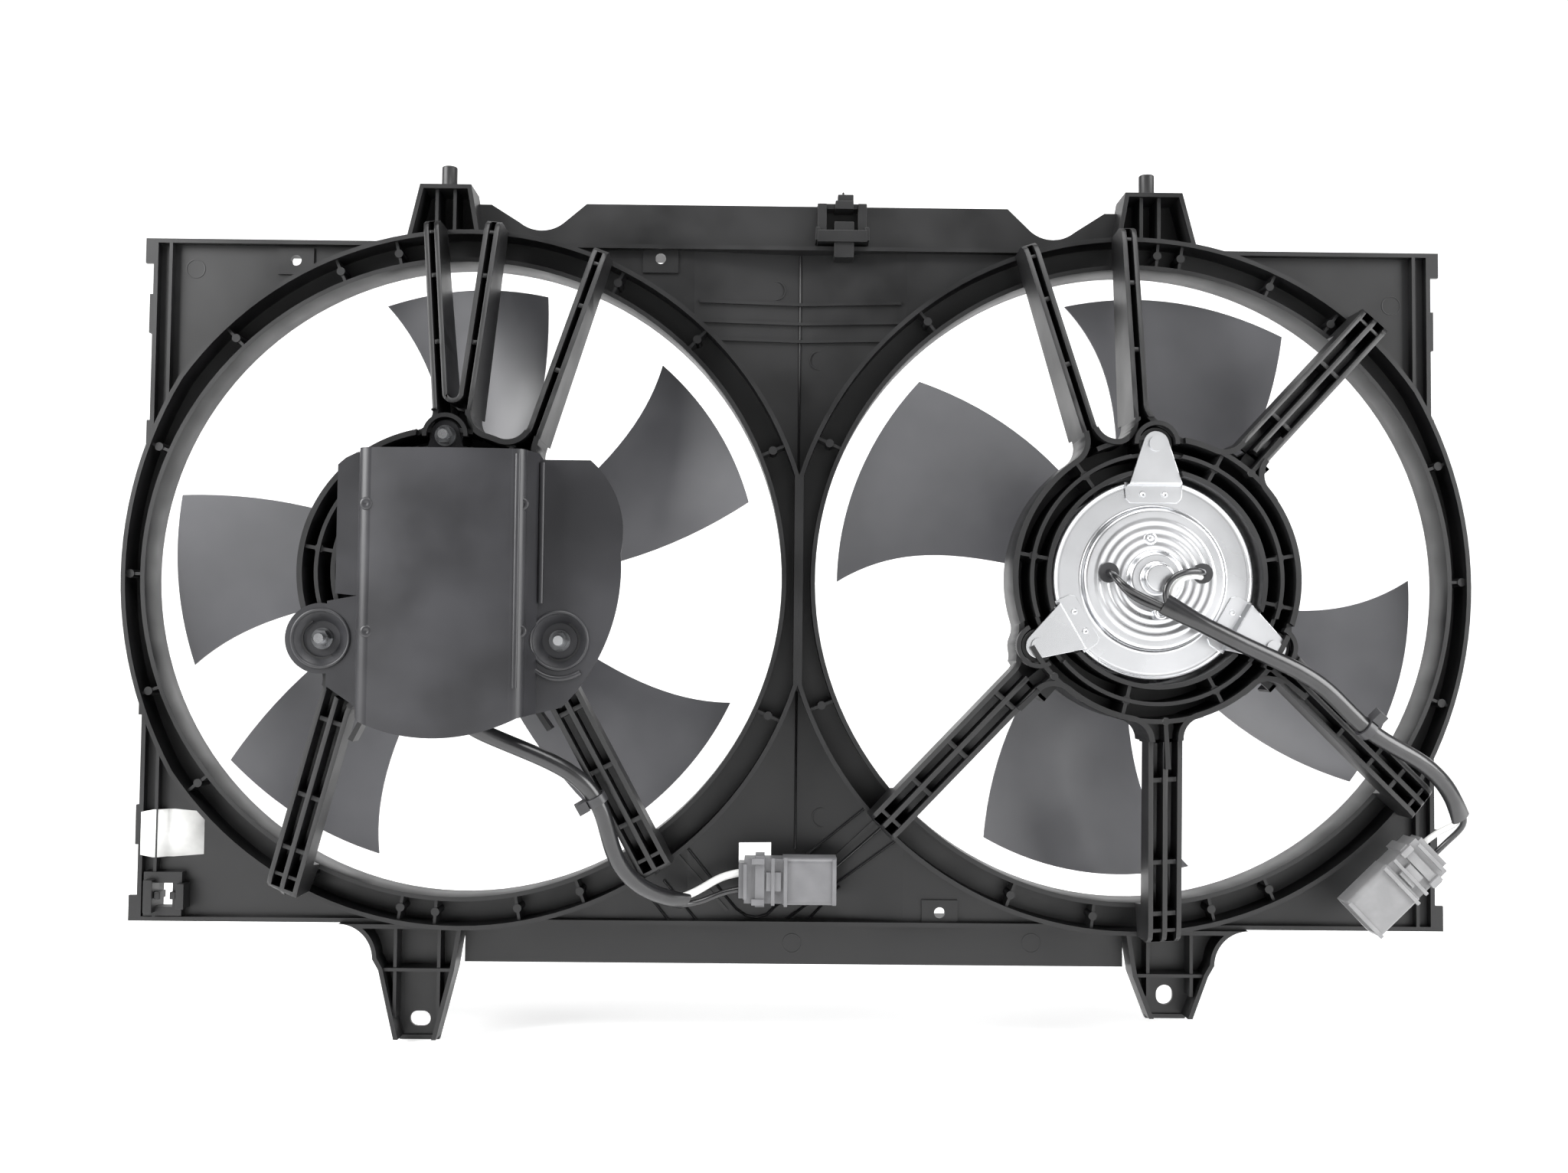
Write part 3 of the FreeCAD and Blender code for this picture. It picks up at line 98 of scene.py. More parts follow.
# injection-moulded plastics: patches of slightly different sheen a few centimetres wide, over
# a fine eroded mould texture that scatters the highlight
mouldings = {
    "shroudPolypropylene": dict(dark="#0b0b0c", light="#131314", patchMm=45, grainMm=0.9,
                                rough=(0.36, 0.52), bump=0.12),
    "fanPolyamide": dict(dark="#47474a", light="#525255", patchMm=60, grainMm=0.7,
                         rough=(0.34, 0.48), bump=0.08),
    "greyConnectorPbt": dict(dark="#636365", light="#6e6e70", patchMm=12, grainMm=0.5,
                             rough=(0.32, 0.42), bump=0.06),
    "paleConnectorPbt": dict(dark="#7a7a7b", light="#868687", patchMm=12, grainMm=0.5,
                             rough=(0.32, 0.42), bump=0.06),
    "labelPaper": dict(dark="#dededc", light="#ececea", patchMm=9, grainMm=0.3, rough=(0.5, 0.6), bump=0.2),
    "cableTieNylon": dict(dark="#2c2c2e", light="#38383a", patchMm=8, grainMm=0.6,
                          rough=(0.3, 0.42), bump=0.06),
    "grommetRubber": dict(dark="#202022", light="#29292b", patchMm=6, grainMm=0.4,
                          rough=(0.55, 0.7), bump=0.1),
}


def mouldedPlastic(name, dark, light, patchMm, grainMm, rough, bump):
    material, tree = newMaterial(name)
    place = addNode(tree, "TexCoord").outputs["Object"]
    patches = addNode(tree, "TexNoise", {"Vector": place, "Scale": 1000 / patchMm, "Detail": 3.0})
    grain = addNode(tree, "TexNoise", {"Vector": place, "Scale": 1000 / grainMm, "Detail": 2.0})
    colour = twoTone(tree, patches.outputs[0], dark, light)
    roughness = addNode(tree, "MapRange", {"Value": patches.outputs[0], "From Min": 0.3, "From Max": 0.7,
                                           "To Min": rough[0], "To Max": rough[1]})
    relief = addNode(tree, "Bump", {"Height": grain.outputs[0], "Strength": bump, "Distance": 0.00005})
    finishMaterial(tree, {"Base Color": colour, "Roughness": roughness.outputs[0], "IOR": 1.49,
                          "Normal": relief.outputs[0]})
    return material


materials = {name: mouldedPlastic(name, **values) for name, values in mouldings.items()}

# sheet and bar metals: zinc plate, cathodic dip coat, painted steel, ground bar, copper
metals = {
    "zincPlatedSteel": dict(dark="#cbccce", light="#d8d9db", patchMm=40, grainMm=0.4,
                            rough=(0.24, 0.34), metallic=1.0, bump=0.08),
    "dullZincSteel": dict(dark="#6f7072", light="#858688", patchMm=6, grainMm=0.3,
                          rough=(0.24, 0.34), metallic=1.0, bump=0.08),
    "darkCoatedSheet": dict(dark="#222224", light="#2d2d30", patchMm=50, grainMm=0.6,
                            rough=(0.34, 0.46), metallic=0.0, bump=0.06),
    "blackPaintedSteel": dict(dark="#121214", light="#1c1c1e", patchMm=25, grainMm=0.8,
                              rough=(0.22, 0.34), metallic=0.0, bump=0.08),
    "groundSteelBar": dict(dark="#a4a5a7", light="#b9babc", patchMm=8, grainMm=0.3,
                           rough=(0.15, 0.25), metallic=1.0, bump=0.05),
    "copperWire": dict(dark="#b5683c", light="#cc8256", patchMm=5, grainMm=0.4,
                       rough=(0.25, 0.4), metallic=1.0, bump=0.1),
    "sinteredBronze": dict(dark="#8b6a3c", light="#a07d49", patchMm=5, grainMm=0.3,
                           rough=(0.4, 0.55), metallic=1.0, bump=0.15),
    "ferriteCeramic": dict(dark="#2b2b2d", light="#363639", patchMm=10, grainMm=0.5,
                           rough=(0.55, 0.7), metallic=0.0, bump=0.12),
    "laminatedSteel": dict(dark="#525356", light="#66676a", patchMm=10, grainMm=0.5,
                           rough=(0.35, 0.5), metallic=1.0, bump=0.1),
    "phenolicBoard": dict(dark="#5a4028", light="#6d5034", patchMm=10, grainMm=0.5,
                          rough=(0.4, 0.55), metallic=0.0, bump=0.06),
}


def plainMetal(name, dark, light, patchMm, grainMm, rough, metallic, bump):
    material, tree = newMaterial(name)
    place = addNode(tree, "TexCoord").outputs["Object"]
    patches = addNode(tree, "TexNoise", {"Vector": place, "Scale": 1000 / patchMm, "Detail": 4.0})
    grain = addNode(tree, "TexNoise", {"Vector": place, "Scale": 1000 / grainMm, "Detail": 2.0})
    colour = twoTone(tree, patches.outputs[0], dark, light)
    roughness = addNode(tree, "MapRange", {"Value": patches.outputs[0], "From Min": 0.3, "From Max": 0.7,
                                           "To Min": rough[0], "To Max": rough[1]})
    relief = addNode(tree, "Bump", {"Height": grain.outputs[0], "Strength": bump, "Distance": 0.00004})
    finishMaterial(tree, {"Base Color": colour, "Roughness": roughness.outputs[0], "Metallic": metallic,
                          "Normal": relief.outputs[0]})
    return material


materials.update({name: plainMetal(name, **values) for name, values in metals.items()})

# extruded cable covers: smooth flexible vinyl, glossier than the mouldings, with soft kinks
vinyls = {
    "blackVinyl": dict(dark="#141415", light="#1e1e20", rough=0.28),
    "whiteVinyl": dict(dark="#e2e2e0", light="#ededeb", rough=0.35),
}


def cableVinyl(name, dark, light, rough):
    material, tree = newMaterial(name)
    place = addNode(tree, "TexCoord").outputs["Object"]
    kinks = addNode(tree, "TexNoise", {"Vector": place, "Scale": 1000 / 14, "Detail": 2.0})
    relief = addNode(tree, "Bump", {"Height": kinks.outputs[0], "Strength": 0.5, "Distance": 0.0006})
    finishMaterial(tree, {"Base Color": twoTone(tree, kinks.outputs[0], dark, light), "Roughness": rough,
                          "IOR": 1.53, "Coat Weight": 0.25, "Coat Roughness": 0.2,
                          "Normal": relief.outputs[0]})
    return material


materials.update({name: cableVinyl(name, **values) for name, values in vinyls.items()})
print("materials made:", len(materials))

# which finish each carried-over node gets, by the words in its name, first match first
finishes = (
    ("_fan_nut", "zincPlatedSteel"), ("_fan", "fanPolyamide"), ("heat_shield", "darkCoatedSheet"),
    ("left_motor_can", "blackPaintedSteel"), ("left_motor_cover", "blackPaintedSteel"),
    ("left_motor_ears", "blackPaintedSteel"), ("motor_c", "zincPlatedSteel"),
    ("motor_ears", "zincPlatedSteel"), ("motor_studs", "zincPlatedSteel"),
    ("motor_washers", "dullZincSteel"), ("motor_nuts", "dullZincSteel"), ("motor_screws", "zincPlatedSteel"),
    ("grommets", "grommetRubber"), ("bushes", "sinteredBronze"), ("magnets", "ferriteCeramic"),
    ("brush_card", "phenolicBoard"), ("brushes", "ferriteCeramic"), ("shaft", "groundSteelBar"),
    ("commutator", "copperWire"), ("windings", "copperWire"), ("armature_core", "laminatedSteel"),
    ("connector_pins", "groundSteelBar"), ("left_connector", "greyConnectorPbt"),
    ("right_connector", "paleConnectorPbt"), ("cable_sleeve", "blackVinyl"), ("leads", "blackVinyl"),
    ("cable_ties", "cableTieNylon"), ("", "shroudPolypropylene"),
)
for name, node in nodes.items():
    finish = next(material for word, material in finishes if word in name)
    node.data.materials.clear()
    node.data.materials.append(materials[finish])
print("finishes given to the carried-over nodes")


# where things are, read from the carried-over nodes
def middleOf(node):
    low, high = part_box(node)
    return Vector([(a + b) / 2 for a, b in zip(low, high)])


leftAxis, rightAxis = middleOf("left_shaft"), middleOf("right_shaft")
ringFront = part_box("left_ring")[0][1]
leftAxis.y = rightAxis.y = ringFront
fanMiddle = (leftAxis + rightAxis) / 2
coverSheet = 0.0014
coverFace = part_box("right_motor_can")[0][1] - coverSheet


def spot(x, y, z):
    # a point given in millimetres from the middle between the fan axes, on the rings' front rim
    return fanMiddle + Vector((x, y, z)) / 1000


def around(degrees, radius=1.0):
    # a step outward from a fan axis, in millimetres, at an angle from the right hand side
    angle = math.radians(degrees)
    return Vector((math.cos(angle), 0, math.sin(angle))) * radius / 1000


def addPiece(name, mesh, material, body="shroud", smoothAngle=35):
    bmesh.ops.recalc_face_normals(mesh, faces=mesh.faces)
    data = bpy.data.meshes.new(name)
    mesh.to_mesh(data)
    mesh.free()
    piece = bpy.data.objects.new(name, data)
    bpy.context.scene.collection.objects.link(piece)
    data.materials.append(materials[material])
    data.shade_smooth()
    data.set_sharp_from_angle(angle=math.radians(smoothAngle))
    even = piece.modifiers.new("evenFaces", "WEIGHTED_NORMAL")
    even.keep_sharp = True
    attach(piece, body)
    return piece


def spinAbout(mesh, centre, profile, steps=96):
    # turns a (radius, depth) profile in millimetres about a line through the centre, along Y
    verts = [mesh.verts.new(centre + Vector((r, y, 0)) / 1000) for r, y in profile]
    edges = [mesh.edges.new(pair) for pair in zip(verts, verts[1:])]
    bmesh.ops.spin(mesh, geom=verts + edges, cent=centre, axis=(0, 1, 0), dvec=(0, 0, 0),
                   angle=math.tau, steps=steps, use_merge=True)
    bmesh.ops.remove_doubles(mesh, verts=mesh.verts, dist=1e-6)


def extrudeOutline(mesh, points, depth, bevel=0.0):
    # a flat outline of points pushed along a vector, with its edges rounded
    verts = [mesh.verts.new(point) for point in points]
    face = mesh.faces.new(verts)
    grown = bmesh.ops.extrude_face_region(mesh, geom=[face])
    moved = [item for item in grown["geom"] if isinstance(item, bmesh.types.BMVert)]
    bmesh.ops.translate(mesh, verts=moved, vec=depth)
    if bevel:
        edges = {edge for vert in verts + moved for edge in vert.link_edges}
        bmesh.ops.bevel(mesh, geom=list(edges), offset=bevel, offset_type="OFFSET", affect="EDGES",
                        segments=2, profile=0.5, material=-1)


def box(mesh, x, y, z, bevel=0.0004):
    # a bar between three pairs of limits in millimetres, with rounded edges
    corners = [spot(x[0], y[0], z[0]), spot(x[1], y[0], z[0]), spot(x[1], y[0], z[1]), spot(x[0], y[0], z[1])]
    extrudeOutline(mesh, corners, (0, (y[1] - y[0]) / 1000, 0), bevel)


def smoothLine(points):
    # the points of a smooth open spline through the air between the given ones
    curve = bpy.data.curves.new("route", "CURVE")
    curve.dimensions = "3D"
    spline = curve.splines.new("NURBS")
    spline.points.add(len(points) - 1)
    for target, point in zip(spline.points, points):
        target.co = (*point, 1)
    spline.order_u = 4
    spline.use_endpoint_u = True
    spline.resolution_u = 8
    holder = bpy.data.objects.new("route", curve)
    line = bpy.data.meshes.new_from_object(holder)
    found = [vert.co.copy() for vert in line.vertices]
    bpy.data.objects.remove(holder)
    return found


def sweptTube(mesh, line, section, sides=20):
    # a closed tube along a line; section gives its two half widths at each share of the length
    frameUp = Vector((0, -1, 0))
    lengths = [0.0]
    for a, b in zip(line, line[1:]):
        lengths.append(lengths[-1] + (b - a).length)
    rings = []
    for i, point in enumerate(line):
        ahead = (line[min(i + 1, len(line) - 1)] - line[max(i - 1, 0)]).normalized()
        side = ahead.cross(frameUp).normalized()
        frameUp = side.cross(ahead).normalized()
        wide, thick = section(lengths[i] / lengths[-1])
        turn = Matrix((side, frameUp, ahead)).transposed().to_4x4()
        turn.translation = point
        capped = i in (0, len(line) - 1)
        ring = bmesh.ops.create_circle(mesh, segments=sides, radius=1.0, cap_ends=capped)["verts"]
        bmesh.ops.scale(mesh, verts=ring, vec=(wide, thick, 1))
        bmesh.ops.transform(mesh, verts=ring, matrix=turn)
        rings.append(ring)
    for before, after in zip(rings, rings[1:]):
        edges = {edge for ring in (before, after) for vert in ring for edge in vert.link_edges
                 if edge.other_vert(vert) in ring}
        bmesh.ops.bridge_loops(mesh, edges=list(edges))


# the right motor's pressed end cover: rolled rim, step, four shallow waves, dome and cap
coverPressing = dict(rim=52.4, stepFoot=37.6, stepTop=35.4, waveOut=32.0, waveIn=15.0, waves=4, waveRise=0.18,
                     dome=12.9, cap=7.7, sheet=1.4)


def coverProfile(rim, stepFoot, stepTop, waveOut, waveIn, waves, waveRise, dome, cap, sheet):
    front = [(rim, sheet), (rim, -0.2), (rim - 0.3, -0.75), (rim - 0.9, -0.95), (rim - 1.5, -0.7),
             (rim - 1.8, -0.1), (rim - 2.3, 0.1), (rim - 3.2, 0.1), (rim - 3.8, -0.05),
             (stepFoot + 1.4, -0.1), (stepFoot + 0.3, -0.4), (stepFoot - 0.3, -1.4),
             (stepFoot - 0.5, -3.4), (stepTop + 1.2, -4.4), (stepTop + 0.3, -4.9),
             (stepTop - 0.6, -5.0), (waveOut + 0.6, -5.0)]
    # the waves as a cosine, ten points to each
    count = 10 * waves
    for i in range(count + 1):
        share = i / count
        front.append((waveOut + (waveIn - waveOut) * share,
                      -5.0 - waveRise * (1 - math.cos(math.tau * waves * share))))
    front += [(dome + 1.5, -5.3), (dome + 0.6, -7.3), (dome - 0.1, -7.9), (dome - 1.0, -8.0),
              (cap + 1.6, -8.0), (cap + 0.5, -8.4), (cap, -9.4), (cap, -14.9), (cap - 0.4, -15.7),
              (cap - 1.3, -16.0), (0, -16.0)]
    back = [(0, -14.6), (cap - 1.35, -14.6), (cap - 1.35, -6.6), (dome, -6.6), (dome + 2.2, -3.6),
            (stepTop, -3.6), (stepTop, sheet), (rim, sheet)]
    return front + back


motorFace = bmesh.new()
faceCentre = Vector((rightAxis.x, coverFace, rightAxis.z))
spinAbout(motorFace, faceCentre, coverProfile(**coverPressing), steps=128)
motorFacePiece = addPiece("rightMotorFace", motorFace, "zincPlatedSteel", smoothAngle=50)
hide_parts("right_motor_cover")

# a rivet over the cap and the free end of a spring clip under it
fittings = bmesh.new()
rivetHead = [(3.4, -4.8), (3.4, -5.5), (3.1, -5.9), (2.3, -6.0), (2.0, -5.7), (1.7, -6.3), (1.2, -6.8),
             (0, -6.9)]
spinAbout(fittings, faceCentre + Vector((-0.0026, 0, 0.0208)), rivetHead, steps=32)
hook = [faceCentre + Vector((2.5 + 2.9 * math.cos(a), -7.4, -17.4 + 2.9 * math.sin(a))) / 1000
        for a in (math.radians(150 + 30 * i) for i in range(9))]
sweptTube(fittings, smoothLine(hook), lambda share: (0.0009, 0.0007), sides=10)
fittingsPiece = addPiece("rightMotorFittings", fittings, "zincPlatedSteel", smoothAngle=50)

# the right motor's three ears: a rounded triangle, a folded riser with two darts, a welded foot
earShape = dict(tip=6.6, reach=70.0, fold=49.6, foldHalf=13.6, footHalf=15.4, footLow=39.6, sheet=1.4,
                rise=7.0, edge=0.0003, dartApart=6.0, dartHalf=1.3, weldApart=5.8)


def buildEars(tip, reach, fold, foldHalf, footHalf, footLow, sheet, rise, edge,
              dartApart, dartHalf, weldApart):
    mesh = bmesh.new()
    for angle in (0, 120, 240):
        turn = Matrix.Rotation(math.radians(-angle), 3, "Y")

        def at(x, y, z):
            return faceCentre + turn @ (Vector((x, y, z)) / 1000)

        lift = turn @ Vector((0, sheet / 1000, 0))
        arc = [(tip * math.sin(math.radians(a)), reach + tip * math.cos(math.radians(a)))
               for a in range(-72, 73, 12)]
        outline = [(-foldHalf, fold)] + arc + [(foldHalf, fold)]
        extrudeOutline(mesh, [at(x, -rise - 0.2, z) for x, z in outline], lift, edge)
        riser = [(-foldHalf, -rise), (foldHalf, -rise), (foldHalf + 0.6, 0), (-foldHalf - 0.6, 0)]
        extrudeOutline(mesh, [at(x, y, fold + 0.9 - 0.12 * (y + rise)) for x, y in riser],
                       turn @ Vector((0, 0, -sheet / 1000)), edge)
        foot = [(-footHalf, fold + 1.0), (footHalf, fold + 1.0), (footHalf - 0.8, footLow + 2.4),
                (footHalf - 3.0, footLow), (-footHalf + 3.0, footLow), (-footHalf + 0.8, footLow + 2.4)]
        extrudeOutline(mesh, [at(x, -sheet + 0.1, z) for x, z in foot], lift, edge)
        for side in (-1, 1):
            middle = dartApart * side
            dart = [at(middle - dartHalf, -rise - 0.1, fold + 2.6),
                    at(middle + dartHalf, -rise - 0.1, fold + 2.6), at(middle, -0.8, fold - 2.4)]
            extrudeOutline(mesh, dart, turn @ Vector((0, 0.0012, 0)), 0.0002)
            weld = at(weldApart * side, 0, footLow + 4.6)
            spinAbout(mesh, weld, [(1.9, -sheet + 0.2), (1.7, -sheet - 0.25), (1.2, -sheet - 0.3),
                                   (0.8, -sheet), (0, -sheet + 0.05)], steps=20)
    return mesh


earPiece = addPiece("rightMotorEars", buildEars(**earShape), "zincPlatedSteel", smoothAngle=40)
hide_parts("right_motor_ears")
print("right motor dressed")

# the loom: each motor's leads, its sleeve and the leads at its connector, as points in
# millimetres with radii in metres; the left tail's white lead has the thicker cover
leadRadius, thickLeadRadius = 0.0016, 0.0021
leadRuns = {
    # points, finish, radius
    "rightLeadOuterBlack": (((159.2, -50, 3), (159.2, -60, 3), (160.5, -68, -1), (167, -70, -7.5),
                             (177, -67.5, -11.3), (186, -67, -15.5)), "blackVinyl", leadRadius),
    "rightLeadInnerBlack": (((160.2, -50, 2), (160.4, -60, 1.5), (163, -66, -5), (170, -67, -11.5),
                             (178, -66, -14.2), (186, -66.5, -17.2)), "blackVinyl", leadRadius),
    "rightLeadGrey": (((207.8, -50, 3), (207.8, -60, 3), (202, -66, 4.2), (191, -68, 2.5),
                       (184.3, -68.5, -4), (184.6, -68, -11), (187, -67, -15)), "blackVinyl", leadRadius),
    "rightLeadWhite": (((206.8, -50, 1), (206.8, -58, 1), (200, -63, 1.8), (193, -64.5, -0.4),
                        (188.4, -65.5, -6), (188.2, -66, -12), (188.6, -67, -16)), "whiteVinyl", leadRadius),
    "rightTailBlack": (((353.0, -28.0, -123.0), (355.3, -26.0, -127.5), (351.8, -19, -134.5),
                        (344, -15, -143.5), (336.8, -15, -151.4)), "blackVinyl", leadRadius),
    "rightTailWhite": (((350.9, -26.0, -123.2), (352.6, -23.5, -127.5), (346.8, -17, -130.8),
                        (339, -15, -137), (330.6, -15, -144.9)), "whiteVinyl", leadRadius),
    "leftLeadOuter": (((-159.2, -50, 3), (-159.2, -64, 3), (-162, -71, -15), (-175, -70, -29),
                       (-185.5, -68.5, -40), (-184, -68, -50)), "blackVinyl", leadRadius),
    "leftLeadInner": (((-207.8, -50, 3), (-207.8, -64, 3), (-205, -71, -15), (-198, -70, -29),
                       (-190, -68.5, -42.4), (-187.4, -68, -52)), "blackVinyl", leadRadius),
    "leftTailWhite": (((-62.5, -6.0, -172.8), (-56.0, -1.5, -171.5), (-47, 1.5, -166.0), (-37, 2, -160.5),
                       (-22, 2, -159.1)), "whiteVinyl", thickLeadRadius),
    "leftTailBlack": (((-63, -6.0, -176.5), (-56, -1.5, -177.0), (-47, 1.6, -174.5), (-37, 2, -169.5),
                       (-22, 2, -168.1)), "blackVinyl", leadRadius),
}
leadNodes = {"rightLeadOuterBlack": "right_leads", "leftLeadOuter": "left_leads"}
for name, (points, material, radius) in leadRuns.items():
    mesh = bmesh.new()
    sweptTube(mesh, smoothLine([spot(*point) for point in points]), lambda share: (radius, radius), sides=14)
    lead = addPiece(name, mesh, material, smoothAngle=60)
    if name in leadNodes:
        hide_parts(leadNodes[name])

sleeveRuns = {
    "left": ((-186, -68, -50), (-180, -67, -66), (-170, -60, -78), (-157, -54, -84.5), (-141, -52, -91),
             (-122, -51, -99), (-108, -49, -109), (-100, -45, -124), (-97, -42, -141), (-90, -34, -158),
             (-76, -19, -170), (-60, -4, -175)),
    "right": ((184.5, -67, -13.2), (200, -68.5, -22), (218, -67, -30.5), (236, -64.5, -38.5),
              (255, -62, -46.5), (271, -59, -56.5), (284, -56, -70), (300, -52, -82), (318, -47, -90),
              (333, -41, -99), (345, -34, -111), (352, -27, -124)),
}
sleeveShape = dict(radius=0.0044, widened=0.0012, flattened=0.0016, firstEnd=0.1, lastEnd=0.06)


def sleeveSection(share):
    # squeezed flat at both cut ends, over a share of the length, and round in between
    flat = max(0.0, 1 - share / sleeveShape["firstEnd"], 1 - (1 - share) / sleeveShape["lastEnd"])
    return (sleeveShape["radius"] + sleeveShape["widened"] * flat,
            sleeveShape["radius"] - sleeveShape["flattened"] * flat)


for side, points in sleeveRuns.items():
    mesh = bmesh.new()
    sweptTube(mesh, smoothLine([spot(*point) for point in points]), sleeveSection, sides=28)
    sleeve = addPiece(side + "CableSleeve", mesh, "blackVinyl", smoothAngle=60)
    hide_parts(side + "_cable_sleeve")
print("loom dressed")

# the top hose clip: a foot, two posts with lips, a hooked top and a tongue
clipBars = (
    # across, depth, height
    ((9.0, 37.0), (9.0, 23.0), (190.5, 197.2)), ((18.5, 29.6), (10.5, 23.0), (182.0, 202.3)),
    ((9.2, 14.2), (12.0, 23.0), (196.8, 213.0)), ((31.8, 36.8), (12.0, 23.0), (196.8, 213.0)),
    ((9.0, 19.6), (13.5, 23.0), (210.2, 213.2)), ((28.6, 37.0), (13.5, 23.0), (210.2, 213.2)),
    ((19.0, 29.2), (9.5, 22.9), (209.2, 214.0)), ((20.4, 29.2), (11.0, 21.0), (213.4, 217.8)),
    ((22.9, 24.0), (12.0, 19.0), (217.4, 219.4)), ((8.0, 10.6), (10.0, 22.8), (191.6, 199.0)),
    ((35.6, 38.2), (10.0, 22.8), (191.6, 199.0)),
)
clipMesh = bmesh.new()
for x, y, z in clipBars:
    box(clipMesh, x, y, z)
clipPiece = addPiece("topHoseClip", clipMesh, "shroudPolypropylene")
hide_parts("top_hose_clip")

# where the arms leave the hubs: the hub's outer wall runs on across each root, a rib and a
# pocket floor start from it, and a raised arch goes round each ear's tip
carriers = {
    # axis, angles of the narrow arms and of the wide arms at the hub
    "left": (leftAxis, (94.9, 84.9, 66.9), (-55.2, -117.6)),
    "right": (rightAxis, (108.5, 92.2), (48.4, -38.1, -86.5, -136.2)),
}
rootShape = dict(rim=74.4, wall=2.2, front=-57.2, back=-26.5, armFloor=-45.0, split=84.2, floorHalf=5.0,
                 ribEnd=98, arch=11.7)
earAngles = (90, 210, 330)


def sector(mesh, centre, radii, depths, angles, steps=16):
    # part of a ring, between two radii, two depths and two angles
    corners = ((radii[0], depths[0]), (radii[1], depths[0]), (radii[1], depths[1]), (radii[0], depths[1]))
    rings = []
    for i in range(steps + 1):
        out = around(angles[0] + (angles[1] - angles[0]) * i / steps)
        rings.append([mesh.verts.new(centre + out * r + Vector((0, y, 0)) / 1000) for r, y in corners])
    for before, after in zip(rings, rings[1:]):
        for i in range(4):
            j = (i + 1) % 4
            mesh.faces.new((before[i], before[j], after[j], after[i]))
    mesh.faces.new(rings[0])
    mesh.faces.new(reversed(rings[-1]))


def buildRoots(axis, narrow, wide, rim, wall, front, back, armFloor, split, floorHalf, ribEnd, arch):
    mesh = bmesh.new()
    for angle in wide:
        across = (angle - 15, angle + 15)
        pocket = (angle - floorHalf, angle + floorHalf)
        sector(mesh, axis, (rim - wall, rim + 0.2), (front + 0.1, back), across)
        sector(mesh, axis, (rim, split + 0.8), (armFloor, armFloor + 2), pocket, steps=6)
        sector(mesh, axis, (split - 1, split + 0.8), (armFloor, back), pocket, steps=6)
        sector(mesh, axis, (rim, ribEnd), (front + 1.2, armFloor + 0.5), (angle - 0.8, angle + 0.8), steps=1)
        knob = [(2.1, front + 8), (2.1, front + 0.3), (1.8, front), (0, front)]
        spinAbout(mesh, axis + around(angle, rim - 1), knob, steps=20)
    for angle in narrow:
        sector(mesh, axis, (rim - wall, rim + 0.2), (front + 3.0, back), (angle - 6, angle + 6), steps=8)
    for angle in earAngles:
        tip = axis + around(angle, earShape["reach"])
        sector(mesh, tip, (arch - wall, arch), (front, front + 6), (angle - 92, angle + 92), steps=28)
    return mesh


for side, (axis, narrow, wide) in carriers.items():
    roots = addPiece(side + "ArmRoots", buildRoots(axis, narrow, wide, **rootShape), "shroudPolypropylene")

# pressed details of the heat shield: dimples on the folds, folded lip, rolled dish rims
dimples = (
    # place on the folds and along the top edge, radius
    (-217.2, -80.2, 32.2, 3.2), (-139.7, -77.5, 33.0, 3.2), (-215.9, -80.0, -31.4, 3.2),
    (-139.8, -77.5, -30.6, 3.2), (-184.3, -81.3, 58.0, 2.2), (-172.6, -81.3, 58.0, 2.2),
)
dishMiddles = (-244.1, -122.9)
dishLevel, dishHeight = -60.0, -35.0
dishRim = [(15.6, 0.2), (15.3, -0.7), (14.7, -1.1), (14.1, -0.9), (13.5, 0.0), (14.4, 0.6), (15.6, 0.2)]
lipRadius, lipLevel = 19.5, -60.6
foldLines = (
    [(-142.0, -80.1, 58.0 - 13.0 * i) for i in range(10)],
    [(-132.6, -60.7, 56.0 - 12.0 * i) for i in range(7)],
    # the lip curls under the right dish
    [(dishMiddles[1] + lipRadius * math.cos(math.radians(a)), lipLevel,
      dishHeight + lipRadius * math.sin(math.radians(a))) for a in range(228, 316, 11)],
)
shieldBeads = bmesh.new()
for x, y, z, radius in dimples:
    cup = [(radius, 1.4), (radius, 0.2), (radius * 0.86, -0.3), (radius * 0.55, -0.45), (radius * 0.3, -0.2),
           (0, 0.1)]
    spinAbout(shieldBeads, spot(x, y, z), cup, steps=28)
for x in dishMiddles:
    spinAbout(shieldBeads, spot(x, dishLevel, dishHeight), dishRim, steps=64)
for points in foldLines:
    line = smoothLine([spot(*point) for point in points])
    sweptTube(shieldBeads, line, lambda share: (0.0013, 0.0008), sides=12)
beads = addPiece("heatShieldPressings", shieldBeads, "darkCoatedSheet", smoothAngle=60)

